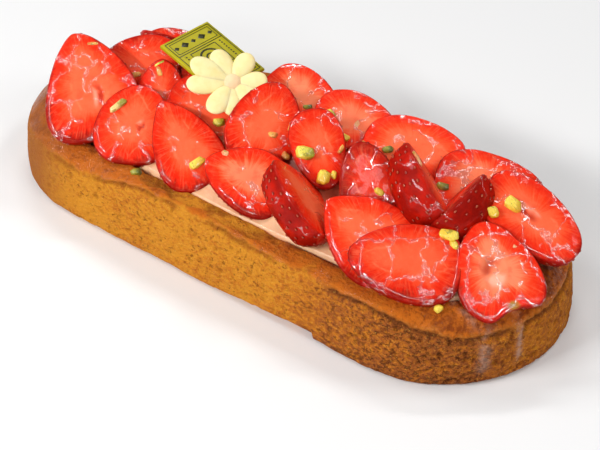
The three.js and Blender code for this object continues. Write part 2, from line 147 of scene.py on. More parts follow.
@dataclass
class Surface:
    """Points, faces and point attributes of a piece that is being made."""

    points: np.ndarray
    faces: list[np.ndarray]
    traits: dict[str, np.ndarray] = field(default_factory=dict)

    def moved(self, pose: Matrix) -> "Surface":
        """Give the same surface carried by a pose.

        Args:
            pose: Four by four matrix.

        Returns:
            A new surface that shares the faces and attributes.
        """
        turn = np.array(pose.to_3x3())
        points = self.points @ turn.T + np.array(pose.translation)
        return Surface(points, self.faces, self.traits)

    @staticmethod
    def joined(parts: list["Surface"]) -> "Surface":
        """Put several surfaces into one.

        Args:
            parts: Surfaces with the same attributes.

        Returns:
            One surface that holds them all.
        """
        starts = np.cumsum([0] + [len(part.points) for part in parts])
        points = np.concatenate([part.points for part in parts])
        faces = [block + start for part, start in zip(parts, starts) for block in part.faces]
        names = parts[0].traits
        traits = {name: np.concatenate([part.traits[name] for part in parts]) for name in names}
        return Surface(points, faces, traits)

    def normals(self) -> np.ndarray:
        """Give the outward direction at each point."""
        total = np.zeros_like(self.points)
        for block in self.faces:
            a, b, c = (self.points[block[:, k]] for k in (0, 1, 2))
            across = np.cross(b - a, c - a)
            if block.shape[1] == 4:
                across = np.cross(c - a, self.points[block[:, 3]] - b)
            for k in range(block.shape[1]):
                np.add.at(total, block[:, k], across)
        length = np.linalg.norm(total, axis=1, keepdims=True)
        return total / np.maximum(length, 1e-20)

    def piece(self, name: str, finish: "Finish", node: str | None = None) -> bpy.types.Object:
        """Make the object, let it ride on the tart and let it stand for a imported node.

        Args:
            name: Name of the piece.
            finish: What its surface is made of.
            node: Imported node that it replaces, if any.

        Returns:
            The new object.
        """
        mesh = bpy.data.meshes.new(name)
        corners = np.concatenate([block.ravel() for block in self.faces])
        sizes = np.concatenate([np.full(len(block), block.shape[1]) for block in self.faces])
        starts = np.concatenate([[0], np.cumsum(sizes)[:-1]])
        mesh.vertices.add(len(self.points))
        mesh.vertices.foreach_set("co", self.points.astype(np.float32).ravel())
        mesh.loops.add(len(corners))
        mesh.loops.foreach_set("vertex_index", corners.astype(np.int32))
        mesh.polygons.add(len(sizes))
        mesh.polygons.foreach_set("loop_start", starts.astype(np.int32))
        mesh.polygons.foreach_set("loop_total", sizes.astype(np.int32))
        mesh.polygons.foreach_set("use_smooth", np.ones(len(sizes), bool))
        mesh.update(calc_edges=True)
        mesh.validate()
        for trait, values in self.traits.items():
            flat = values.ndim == 1
            layer = mesh.attributes.new(trait, "FLOAT" if flat else "FLOAT_VECTOR", "POINT")
            layer.data.foreach_set("value" if flat else "vector", values.astype(np.float32).ravel())
        mesh.materials.append(finish.material())
        thing = bpy.data.objects.new(name, mesh)
        bpy.context.scene.collection.objects.link(thing)
        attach(thing, "root")
        if node:
            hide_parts(node)
        LOG.info("%s: %d faces", name, len(sizes))
        return thing


def grid_faces(rows: int, columns: int, closed: bool) -> np.ndarray:
    """List the quads of a grid of points whose rows follow each other.

    Args:
        rows: Number of rows.
        columns: Points in a row.
        closed: Whether the last column joins the first.

    Returns:
        Four point numbers per quad.
    """
    row = np.arange(rows - 1)[:, None] * columns
    here = np.arange(columns if closed else columns - 1)[None, :]
    after = (here + 1) % columns
    quads = [row + here, row + after, row + columns + after, row + columns + here]
    return np.stack([quad.ravel() for quad in quads], axis=1)


def pose_of(faces: tuple[float, float], turn: float, at: tuple[float, float, float]) -> Matrix:
    """Give the pose of a piece by the way it faces.

    Args:
        faces: Azimuth of the face, 0 towards -Y and 90 towards +X, and its elevation, in degrees.
        turn: How far the piece's own +X leans clockwise from uphill, in degrees.
        at: Place of the piece's origin in millimetres.

    Returns:
        A matrix from the piece's own frame to the tart's.
    """
    azimuth, elevation = (math.radians(angle) for angle in faces)
    flat = math.cos(elevation)
    normal = Vector((math.sin(azimuth) * flat, -math.cos(azimuth) * flat, math.sin(elevation)))
    right = Vector((math.cos(azimuth), math.sin(azimuth), 0.0))
    along = normal.cross(right) * math.cos(math.radians(turn)) + right * math.sin(math.radians(turn))
    across = normal.cross(along)
    pose = Matrix((along, across, normal)).transposed().to_4x4()
    pose.translation = Vector(at) * MM
    return pose


class Shader:
    """A node tree for one material, with short calls for the nodes that the finishes use."""

    def __init__(self, name: str) -> None:
        """Start a material with one Principled shader.

        Args:
            name: Name of the material.
        """
        self.material = bpy.data.materials.new(name)
        self.material.use_nodes = True
        self.tree = self.material.node_tree
        self.tree.nodes.clear()
        self.surface = self.tree.nodes.new("ShaderNodeBsdfPrincipled")
        output = self.tree.nodes.new("ShaderNodeOutputMaterial")
        self.tree.links.new(self.surface.outputs[0], output.inputs[0])

    def feed(self, socket: bpy.types.NodeSocket, value: object) -> None:
        """Set a socket to a constant, or link it to another node's output.

        Args:
            socket: Input to set.
            value: Number, colour or output socket.
        """
        if isinstance(value, bpy.types.NodeSocket):
            self.tree.links.new(value, socket)
        elif isinstance(value, tuple) and len(value) == 3 and socket.type == "RGBA":
            socket.default_value = (*value, 1.0)
        else:
            socket.default_value = value

    def set(self, **sockets: object) -> None:
        """Set sockets of the Principled shader.

        Args:
            sockets: Socket names with underscores for spaces, and their values.
        """
        for name, value in sockets.items():
            self.feed(self.surface.inputs[name.replace("_", " ")], value)

    def place(self) -> bpy.types.NodeSocket:
        """Give the place on the object, in metres."""
        return self.tree.nodes.new("ShaderNodeTexCoord").outputs["Object"]

    def trait(self, name: str, output: str = "Fac") -> bpy.types.NodeSocket:
        """Read a point attribute.

        Args:
            name: Name of the attribute.
            output: Fac for a number, Vector for a vector.

        Returns:
            The output socket.
        """
        node = self.tree.nodes.new("ShaderNodeAttribute")
        node.attribute_name = name
        return node.outputs[output]

    def math(self, operation: str, *values: object) -> bpy.types.NodeSocket:
        """Combine numbers.

        Args:
            operation: Name of the Math node's operation.
            values: Numbers or outputs.

        Returns:
            The result.
        """
        node = self.tree.nodes.new("ShaderNodeMath")
        node.operation = operation
        for socket, value in zip(node.inputs, values):
            self.feed(socket, value)
        return node.outputs[0]

    def vector(self, operation: str, *values: object) -> bpy.types.NodeSocket:
        """Combine vectors.

        Args:
            operation: Name of the Vector Math node's operation.
            values: Vectors or outputs.

        Returns:
            The result.
        """
        node = self.tree.nodes.new("ShaderNodeVectorMath")
        node.operation = operation
        for socket, value in zip(node.inputs, values):
            self.feed(socket, value)
        return node.outputs[0]

    def noise(self, at: object, size: float, detail: float = 2.0, rough: float = 0.5, bend: float = 0.0) -> bpy.types.NodeSocket:
        """Give noise from 0 to 1.

        Args:
            at: Coordinates.
            size: Size of the pattern in the units of the coordinates.
            detail: Number of finer layers.
            rough: Strength of the finer layers.
            bend: Distortion.

        Returns:
            The noise.
        """
        node = self.tree.nodes.new("ShaderNodeTexNoise")
        self.feed(node.inputs["Vector"], at)
        node.inputs["Scale"].default_value = 1.0 / size
        node.inputs["Detail"].default_value = detail
        node.inputs["Roughness"].default_value = rough
        node.inputs["Distortion"].default_value = bend
        return node.outputs["Fac"]

    def cells(self, at: object, size: float) -> bpy.types.NodeSocket:
        """Give the distance to the nearest of points scattered about a size apart.

        Args:
            at: Coordinates.
            size: Size of a cell.

        Returns:
            The distance, from 0 to about 1.
        """
        node = self.tree.nodes.new("ShaderNodeTexVoronoi")
        self.feed(node.inputs["Vector"], at)
        node.inputs["Scale"].default_value = 1.0 / size
        return node.outputs["Distance"]

    def borders(self, at: object, size: float) -> bpy.types.NodeSocket:
        """Give the distance to the borders between the cells of scattered points.

        Args:
            at: Coordinates.
            size: Size of a cell.

        Returns:
            The distance, as a share of the size.
        """
        node = self.tree.nodes.new("ShaderNodeTexVoronoi")
        node.feature = "DISTANCE_TO_EDGE"
        self.feed(node.inputs["Vector"], at)
        node.inputs["Scale"].default_value = 1.0 / size
        return node.outputs["Distance"]

    def shaken(self, at: object, size: float, reach: float) -> bpy.types.NodeSocket:
        """Shift coordinates about at random.

        Args:
            at: Coordinates.
            size: Size of the pattern of the shifts.
            reach: Largest shift, about.

        Returns:
            The shifted coordinates.
        """
        node = self.tree.nodes.new("ShaderNodeTexNoise")
        self.feed(node.inputs["Vector"], at)
        node.inputs["Scale"].default_value = 1.0 / size
        node.inputs["Detail"].default_value = 3.0
        node.inputs["Roughness"].default_value = 0.6
        away = self.vector("SUBTRACT", node.outputs["Color"], (0.5, 0.5, 0.5))
        return self.vector("ADD", at, self.vector("MULTIPLY", away, (2.0 * reach,) * 3))

    def ramp(self, value: object, low: float, high: float, start: float = 0.0, end: float = 1.0) -> bpy.types.NodeSocket:
        """Map a range smoothly to another.

        Args:
            value: Number to map.
            low: Where the ramp starts.
            high: Where it ends.
            start: Result at low.
            end: Result at high.

        Returns:
            The mapped number.
        """
        node = self.tree.nodes.new("ShaderNodeMapRange")
        node.interpolation_type = "SMOOTHSTEP"
        for name, number in zip(("Value", "From Min", "From Max", "To Min", "To Max"), (value, low, high, start, end)):
            self.feed(node.inputs[name], number)
        return node.outputs["Result"]

    def colours(self, value: object, stops: list[tuple[float, tuple[float, float, float]]]) -> bpy.types.NodeSocket:
        """Look a number up in a row of colours.

        Args:
            value: Number from 0 to 1.
            stops: Places and colours, in rising order.

        Returns:
            The colour.
        """
        node = self.tree.nodes.new("ShaderNodeValToRGB")
        self.feed(node.inputs["Fac"], value)
        elements = node.color_ramp.elements
        while len(elements) < len(stops):
            elements.new(1.0)
        for element, (place, colour) in zip(elements, stops):
            element.position = place
            element.color = (*colour, 1.0)
        return node.outputs["Color"]

    def mix(self, share: object, first: object, second: object, blend: str = "MIX") -> bpy.types.NodeSocket:
        """Blend two colours.

        Args:
            share: Share of the second.
            first: First colour.
            second: Second colour.
            blend: Blend type of the Mix node.

        Returns:
            The blended colour.
        """
        node = self.tree.nodes.new("ShaderNodeMix")
        node.data_type = "RGBA"
        node.blend_type = blend
        node.clamp_result = True
        sockets = [socket for socket in node.inputs if socket.type == "RGBA"]
        self.feed(node.inputs["Factor"], share)
        self.feed(sockets[0], first)
        self.feed(sockets[1], second)
        return next(socket for socket in node.outputs if socket.type == "RGBA")

    def bump(self, height: object, depth: float, normal: object = None) -> bpy.types.NodeSocket:
        """Turn heights into a bent normal.

        Args:
            height: Heights from 0 to 1.
            depth: Depth that 1 stands for, in metres.
            normal: Normal to start from, if any.

        Returns:
            The normal.
        """
        node = self.tree.nodes.new("ShaderNodeBump")
        node.inputs["Strength"].default_value = 1.0
        node.inputs["Distance"].default_value = depth
        self.feed(node.inputs["Height"], height)
        if normal is not None:
            self.feed(node.inputs["Normal"], normal)
        return node.outputs["Normal"]


class Finish:
    """What a surface is made of. Each finish makes its material once."""

    slot: str = ""
    made: dict[object, bpy.types.Material] = {}

    def shader(self) -> Shader:
        """Build the node tree."""
        raise NotImplementedError

    def material(self) -> bpy.types.Material:
        """Give the material, made on the first call."""
        if self not in Finish.made:
            Finish.made[self] = self.shader().material
        return Finish.made[self]


@dataclass(frozen=True)
class BakedCrust(Finish):
    """Browned shortcrust with painted shade and a painted highlight. Its points carry bake, the browning with painted
    shade, pore, painted shade in the pits and in the crevice under the rim, glaze, tan, top, band, which also paints
    shade in the creases and under the fruit, crumb, crest, where a painted highlight runs along the rim, and film.
    """

    slot: str = "crust"
    gold: tuple[float, float, float] = (0.70, 0.275, 0.020)
    amber: tuple[float, float, float] = (0.58, 0.178, 0.014)
    brown: tuple[float, float, float] = (0.37, 0.098, 0.017)
    dark: tuple[float, float, float] = (0.17, 0.045, 0.012)
    tan: tuple[float, float, float] = (0.33, 0.100, 0.022)
    rim_light: tuple[float, float, float] = (0.60, 0.145, 0.010)
    # Also the painted shade in the band's creases and under the fruit.
    rim_dark: tuple[float, float, float] = (0.30, 0.060, 0.006)
    # Painted shade in the pits and crevices.
    pore_shade: tuple[float, float, float] = (0.22, 0.056, 0.006)
    # Lighter specks: lighter crumbs, with painted light on their raised crests.
    grain: tuple[float, float, float] = (0.95, 0.52, 0.10)
    # Painted highlight along the crest of the rim.
    crest_highlight: tuple[float, float, float] = (0.80, 0.27, 0.035)
    # Painted shade in the pits and crevices where the crust is most browned.
    deep_pore_shade: tuple[float, float, float] = (0.10, 0.027, 0.006)
    film: tuple[float, float, float] = (0.56, 0.38, 0.30)

    def shader(self) -> Shader:
        """Build the node tree.

        Returns:
            The shader.
        """
        s = Shader("baked_crust")
        at = s.place()
        patches = s.noise(at, 13 * MM, 3, 0.6)
        laid = s.vector("MULTIPLY", at, (0.80, 0.80, 1.10))
        crumb = s.noise(laid, 1.5 * MM, 4, 0.62, 0.3)
        sand = s.noise(at, 0.7 * MM, 3, 0.7)
        # The bake trait holds the browning together with painted shade.
        bake_and_shade = s.math("ADD", s.trait("bake_and_shade"), s.math("MULTIPLY", s.math("SUBTRACT", patches, 0.5), 0.6))
        bake_and_shade = s.math("ADD", bake_and_shade, s.math("MULTIPLY", s.math("SUBTRACT", crumb, 0.5), 1.7))
        wall = s.colours(bake_and_shade, [(0.0, self.gold), (0.3, self.amber), (0.62, self.brown), (1.0, self.dark)])
        wall = s.mix(s.math("MULTIPLY", s.trait("tan"), 0.9), wall, self.tan)
        gate = s.ramp(s.noise(at, 4 * MM, 3, 0.6), 0.40, 0.60)
        cave = s.math("SUBTRACT", s.noise(laid, 1.2 * MM, 2, 0.5, 0.5), s.math("MULTIPLY", s.trait("bake_and_shade"), 0.10))
        caves = s.math("MULTIPLY", s.ramp(cave, 0.31, 0.40, 1.0, 0.0), s.math("MAXIMUM", gate, s.ramp(s.trait("bake_and_shade"), 0.3, 0.6)))
        caves = s.math("MULTIPLY", caves, s.trait("crumb"))
        # Painted shade in the pits, the caves and the crevice under the rim, darkest where the crust is most browned.
        hollow = s.math("MAXIMUM", s.math("MULTIPLY", s.trait("pore_shade"), 0.85), caves)
        shadow = s.mix(s.ramp(s.trait("bake_and_shade"), 0.25, 0.6), self.pore_shade, self.deep_pore_shade)
        wall = s.mix(s.math("MULTIPLY", hollow, 0.68), wall, shadow)
        # Lighter on the raised sand specks: lighter crumbs, with painted light on their crests.
        lit = s.math("MULTIPLY", s.ramp(sand, 0.56, 0.74), s.trait("crumb"))
        wall = s.mix(s.math("MULTIPLY", lit, 0.45), wall, self.grain)
        # The band trait darkens the band as painted shade in its creases and along its inner edge under the fruit.
        tone = s.math("ADD", s.noise(at, 5 * MM, 4, 0.65), s.trait("band"))
        tone = s.math("ADD", tone, s.math("MULTIPLY", s.math("SUBTRACT", crumb, 0.5), 0.8))
        band = s.mix(s.ramp(tone, 0.36, 0.80), self.rim_light, self.rim_dark)
        band = s.mix(s.math("MULTIPLY", s.trait("tan"), 0.6), band, self.tan)
        base = s.mix(s.trait("top"), wall, band)
        # Painted highlight along the crest of the rim, broken by the crumb.
        crest = s.math("MULTIPLY", s.trait("crest"), s.ramp(crumb, 0.42, 0.58))
        base = s.mix(s.math("MULTIPLY", crest, 0.6), base, self.crest_highlight)
        streak = s.math("MULTIPLY", s.trait("film"), s.ramp(s.noise(at, 2.5 * MM, 3, 0.6), 0.35, 0.6, 0.15, 0.5))
        base = s.mix(streak, base, self.film)
        rough = s.ramp(s.trait("glaze"), 0.2, 0.9, 0.85, 0.45)
        low = s.math("ADD", s.math("MULTIPLY", crumb, 0.7), s.math("MULTIPLY", sand, 0.3))
        low = s.math("SUBTRACT", low, s.math("MULTIPLY", caves, 0.22))
        normal = s.bump(low, 2.0 * MM)
        s.set(Base_Color=base, Roughness=rough, Normal=normal, Coat_Weight=s.math("MULTIPLY", s.trait("glaze"), 0.6))
        wet = s.bump(s.noise(at, 2.2 * MM, 3, 0.6), 1.4 * MM)
        s.set(Coat_Roughness=0.10, Coat_IOR=1.4, Coat_Normal=wet, Specular_IOR_Level=0.12)
        s.set(Subsurface_Weight=0.05, Subsurface_Radius=(1.0, 0.5, 0.2), Subsurface_Scale=1.0 * MM)
        return s


@dataclass(frozen=True)
class WhippedCream(Finish):
    """Peach cream with a soft wet sheen, stained by juice. Its points carry inner, from 0 to 1."""

    slot: str = "cream"
    pale: tuple[float, float, float] = (0.93, 0.54, 0.30)
    stained: tuple[float, float, float] = (0.86, 0.33, 0.14)
    juice: tuple[float, float, float] = (0.42, 0.045, 0.018)

    def shader(self) -> Shader:
        """Build the node tree.

        Returns:
            The shader.
        """
        s = Shader("whipped_cream")
        at = s.place()
        stain = s.ramp(s.noise(at, 9 * MM, 3, 0.6), 0.45, 0.75)
        base = s.mix(s.math("MULTIPLY", stain, 0.45), self.pale, self.stained)
        soaked = s.math("ADD", s.trait("inner"), s.math("MULTIPLY", s.math("SUBTRACT", s.noise(at, 6 * MM, 3, 0.6), 0.5), 0.9))
        base = s.mix(s.ramp(soaked, 0.25, 0.75, 0.0, 0.9), base, self.juice)
        normal = s.bump(s.noise(at, 3.5 * MM, 3, 0.5, 0.6), 0.5 * MM)
        s.set(Base_Color=base, Roughness=0.42, Normal=normal, Coat_Weight=0.35, Coat_Roughness=0.1)
        s.set(Subsurface_Weight=0.35, Subsurface_Radius=(1.0, 0.6, 0.4), Subsurface_Scale=2.5 * MM)
        return s


@dataclass(frozen=True)
class GlazedBerry(Finish):
    """Strawberry under clear glaze.

    Its points carry gap, the distance from the rim, core, the distance outside the core, and ray, the place round
    the rim, and low, how much further the dark red reaches in where the rim faces down (painted shade), in
    millimetres, and skin, heart, pith, stem, pit, ripe, pale, gel and bead from 0 to 1; heart, pit and ripe also paint
    shade.
    """

    slot: str = "strawberry"
    core: tuple[float, float, float] = (0.99, 0.25, 0.12)
    flesh: tuple[float, float, float] = (0.96, 0.060, 0.010)
    light: tuple[float, float, float] = (0.98, 0.108, 0.030)
    vein: tuple[float, float, float] = (0.99, 0.26, 0.12)
    red: tuple[float, float, float] = (0.86, 0.020, 0.003)
    rich: tuple[float, float, float] = (0.56, 0.007, 0.001)
    edge: tuple[float, float, float] = (0.30, 0.003, 0.001)
    # Also the painted shade in the seed dimples.
    deep: tuple[float, float, float] = (0.20, 0.003, 0.001)
    skin: tuple[float, float, float] = (0.30, 0.004, 0.001)
    flush: tuple[float, float, float] = (0.52, 0.008, 0.001)
    # Also the painted shade in the slit and hollow of the heart.
    hollow: tuple[float, float, float] = (0.50, 0.022, 0.008)
    pith: tuple[float, float, float] = (0.99, 0.47, 0.33)
    calyx: tuple[float, float, float] = (0.42, 0.26, 0.045)

    def shader(self) -> Shader:
        """Build the node tree.

        Returns:
            The shader.
        """
        s = Shader("glazed_berry")
        at = s.place()
        ray = s.trait("ray", "Vector")
        gap = s.trait("gap")
        streaks = s.noise(ray, 1.1, 3, 0.65)
        wide = s.noise(ray, 7.0, 2, 0.5)
        wobble = s.noise(at, 6 * MM, 3, 0.6)
        teeth = s.math("MULTIPLY", s.math("SUBTRACT", streaks, 0.5), s.ramp(gap, 0.4, 3.0, 0.0, 7.0))
        depth = s.math("ADD", gap, s.math("MULTIPLY", s.math("SUBTRACT", wobble, 0.5), 5.0))
        depth = s.math("ADD", depth, s.math("MULTIPLY", s.math("SUBTRACT", wide, 0.5), 5.0))
        depth = s.math("ADD", depth, teeth)
        # Painted shade: the dark red of the rim reaches further in where the rim faces down.
        depth = s.math("SUBTRACT", depth, s.trait("low"))
        share = s.math("MULTIPLY", s.math("ADD", depth, 2.0), 0.08)
        young = [(0.0, self.edge), (0.14, self.rich), (0.24, self.red), (0.36, self.red), (0.64, self.flesh), (0.95, self.light)]
        young = s.colours(share, young)
        old = s.colours(share, [(0.1, self.deep), (0.28, self.edge), (0.50, self.rich), (0.80, self.red)])
        face = s.mix(s.math("MULTIPLY", s.ramp(depth, 4.0, 9.5), s.trait("pale")), young, self.core)
        # Darker reds for riper fruit, and painted shade on faces turned away from the light.
        face = s.mix(s.trait("ripe"), face, old)
        ticks = s.math("MULTIPLY", s.ramp(s.noise(ray, 0.75, 2, 0.5), 0.52, 0.66), s.ramp(gap, 0.7, 1.8))
        ticks = s.math("MULTIPLY", ticks, s.ramp(depth, 7.0, 3.5))
        face = s.mix(s.math("MULTIPLY", ticks, 0.20), face, self.vein)
        bent = s.math("ADD", s.trait("core"), s.math("MULTIPLY", s.math("SUBTRACT", wobble, 0.5), 5.0))
        line = s.math("MULTIPLY", s.ramp(s.math("ABSOLUTE", bent), 0.0, 0.8, 1.0, 0.0), s.ramp(gap, 1.5, 3.5))
        line = s.math("MULTIPLY", line, s.ramp(s.noise(at, 7 * MM, 2, 0.5), 0.44, 0.60))
        face = s.mix(s.math("MULTIPLY", line, 0.36), face, self.vein)
        mottle = s.ramp(s.noise(at, 1.6 * MM, 4, 0.7), 0.42, 0.75)
        face = s.mix(s.math("MULTIPLY", mottle, 0.18), face, self.vein)
        blot = s.ramp(s.noise(at, 4.0 * MM, 3, 0.6), 0.50, 0.72)
        face = s.mix(s.math("MULTIPLY", blot, 0.28), face, self.red)
        speck = s.ramp(s.cells(at, 5 * MM), 0.025, 0.055, 0.7, 0.0)
        face = s.mix(speck, face, self.hollow)
        face = s.mix(s.ramp(gap, 0.10, 0.70, 0.5, 0.0), face, self.edge)
        face = s.mix(s.ramp(s.trait("pith"), 0.0, 1.0, 0.0, 0.9), face, self.pith)
        # Painted shade in the pressed-in slit and hollow of the heart.
        face = s.mix(s.ramp(s.trait("heart"), 0.0, 1.0, 0.0, 0.9), face, self.hollow)
        face = s.mix(s.ramp(s.trait("stem"), 0.0, 1.0, 0.0, 0.85), face, self.calyx)
        blush = s.mix(s.ramp(s.noise(at, 6 * MM, 3, 0.6), 0.35, 0.70), self.skin, self.flush)
        # Painted shade in the seed dimples.
        blush = s.mix(s.math("MULTIPLY", s.trait("pit"), 0.65), blush, self.deep)
        base = s.mix(s.trait("skin"), face, blush)
        s.set(Base_Color=base, Roughness=0.5, Specular_IOR_Level=0.06)
        s.set(Subsurface_Weight=0.22, Subsurface_Radius=(1.0, 0.15, 0.06), Subsurface_Scale=2.0 * MM)
        wave = s.noise(at, 9 * MM, 1, 0.4, 0.5)
        drawn = s.shaken(s.shaken(at, 6 * MM, 5 * MM), 1.6 * MM, 0.7 * MM)
        fold = s.ramp(s.borders(drawn, 12 * MM), 0.0, 0.055, 1.0, 0.0)
        patch = s.math("ADD", s.noise(at, 6 * MM, 1, 0.5), s.math("MULTIPLY", s.trait("gel"), 0.24))
        fold = s.math("MULTIPLY", fold, s.ramp(patch, 0.56, 0.64))
        fold = s.math("MULTIPLY", fold, s.ramp(s.trait("skin"), 0.3, 1.0, 1.0, 0.30))
        brink = s.math("SUBTRACT", gap, s.math("ADD", 0.6, s.math("MULTIPLY", wide, 2.4)))
        bead = s.math("MULTIPLY", s.ramp(s.math("ABSOLUTE", brink), 0.0, 0.5, 1.0, 0.0), s.trait("bead"))
        bead = s.math("MULTIPLY", bead, s.ramp(s.trait("skin"), 0.0, 0.3, 1.0, 0.0))
        ridge = s.math("MAXIMUM", fold, bead)
        round_ridge = s.math("SUBTRACT", s.math("MULTIPLY", ridge, 2.0), s.math("MULTIPLY", ridge, ridge))
        wet = s.bump(s.math("ADD", wave, round_ridge), 0.26 * MM)
        s.set(Coat_Weight=s.ramp(ridge, 0.05, 0.4, 0.02, 1.0), Coat_Roughness=0.05, Coat_IOR=3.4, Coat_Normal=wet)
        return s


@dataclass(frozen=True)
class Achene(Finish):
    """Seeds in the skin of a strawberry."""

    slot: str = "strawberry"

    def shader(self) -> Shader:
        """Build the node tree.

        Returns:
            The shader.
        """
        s = Shader("achene")
        tone = s.noise(s.place(), 3 * MM, 2, 0.5)
        base = s.mix(s.ramp(tone, 0.40, 0.60), (0.46, 0.075, 0.018), (0.33, 0.018, 0.006))
        s.set(Base_Color=base, Roughness=0.35, Coat_Weight=0.5, Coat_Roughness=0.08)
        return s


class Tone(Enum):
    """Colours of a chopped pistachio, at its two ends."""

    YELLOW = ((0.98, 0.74, 0.08), (0.93, 0.60, 0.04))
    LIME = ((0.95, 0.83, 0.10), (0.42, 0.42, 0.02))
    GREEN = ((0.42, 0.40, 0.03), (0.10, 0.13, 0.01))
    CREAM = ((0.98, 0.72, 0.26), (0.36, 0.32, 0.03))
    AMBER = ((0.92, 0.45, 0.08), (0.75, 0.22, 0.03))
    PEACH = ((0.95, 0.50, 0.22), (0.88, 0.30, 0.10))


@dataclass(frozen=True)
class Pistachio(Finish):
    """Chopped pistachio of one tone. Its points carry end, from 0 to 1 along the nib."""

    tone: Tone
    slot: str = "pistachio"
    rind: tuple[float, float, float] = (0.30, 0.27, 0.02)

    def shader(self) -> Shader:
        """Build the node tree.

        Returns:
            The shader.
        """
        s = Shader("pistachio_" + self.tone.name.lower())
        at = s.place()
        near, far = self.tone.value
        shift = s.math("MULTIPLY", s.math("SUBTRACT", s.noise(at, 1.2 * MM, 2, 0.6), 0.5), 0.7)
        share = s.ramp(s.math("ADD", s.trait("end"), shift), 0.35, 0.8)
        base = s.mix(share, near, far)
        shade = s.ramp(s.noise(at, 0.5 * MM, 3, 0.7), 0.35, 0.62, 0.35, 0.0)
        base = s.mix(shade, base, tuple(0.45 * c for c in far))
        rind = s.ramp(s.noise(at, 1.7 * MM, 2, 0.5), 0.60, 0.66, 0.0, 0.7)
        base = s.mix(rind, base, self.rind)
        normal = s.bump(s.noise(at, 0.45 * MM, 3, 0.6), 0.2 * MM)
        s.set(Base_Color=base, Roughness=0.38, Normal=normal, Coat_Weight=0.5, Coat_Roughness=0.08)
        s.set(Subsurface_Weight=0.15, Subsurface_Radius=(1.0, 0.8, 0.2), Subsurface_Scale=1.0 * MM)
        return s


@dataclass(frozen=True)
class Chocolate(Finish):
    """Smooth moulded chocolate."""

    name: str
    light: tuple[float, float, float]
    shade: tuple[float, float, float]
    slot: str = "white_chocolate"
    rough: float = 0.42
    glow: float = 0.3

    def shader(self) -> Shader:
        """Build the node tree.

        Returns:
            The shader.
        """
        s = Shader(self.name)
        at = s.place()
        base = s.mix(s.ramp(s.noise(at, 5 * MM, 3, 0.6), 0.35, 0.7), self.light, self.shade)
        normal = s.bump(s.noise(at, 1.6 * MM, 3, 0.6), 0.10 * MM)
        s.set(Base_Color=base, Roughness=self.rough, Normal=normal, Specular_IOR_Level=0.2)
        s.set(Subsurface_Weight=self.glow, Subsurface_Radius=(1.0, 0.8, 0.5), Subsurface_Scale=1.8 * MM)
        return s


@dataclass(frozen=True)
class Print(Finish):
    """Dark edible ink, a little worn."""

    slot: str = "green_chocolate"

    def shader(self) -> Shader:
        """Build the node tree.

        Returns:
            The shader.
        """
        s = Shader("print")
        worn = s.ramp(s.noise(s.place(), 0.8 * MM, 3, 0.7), 0.55, 0.75)
        base = s.mix(s.math("MULTIPLY", worn, 0.4), (0.035, 0.035, 0.008), (0.16, 0.15, 0.012))
        s.set(Base_Color=base, Roughness=0.4)
        return s


@dataclass(frozen=True)
class PaleFloor(Finish):
    """Plain pale studio floor."""

    slot: str = ""

    def shader(self) -> Shader:
        """Build the node tree.

        Returns:
            The shader.
        """
        s = Shader("pale_floor")
        s.set(Base_Color=(0.86, 0.86, 0.86), Roughness=0.9, Specular_IOR_Level=0.1)
        return s


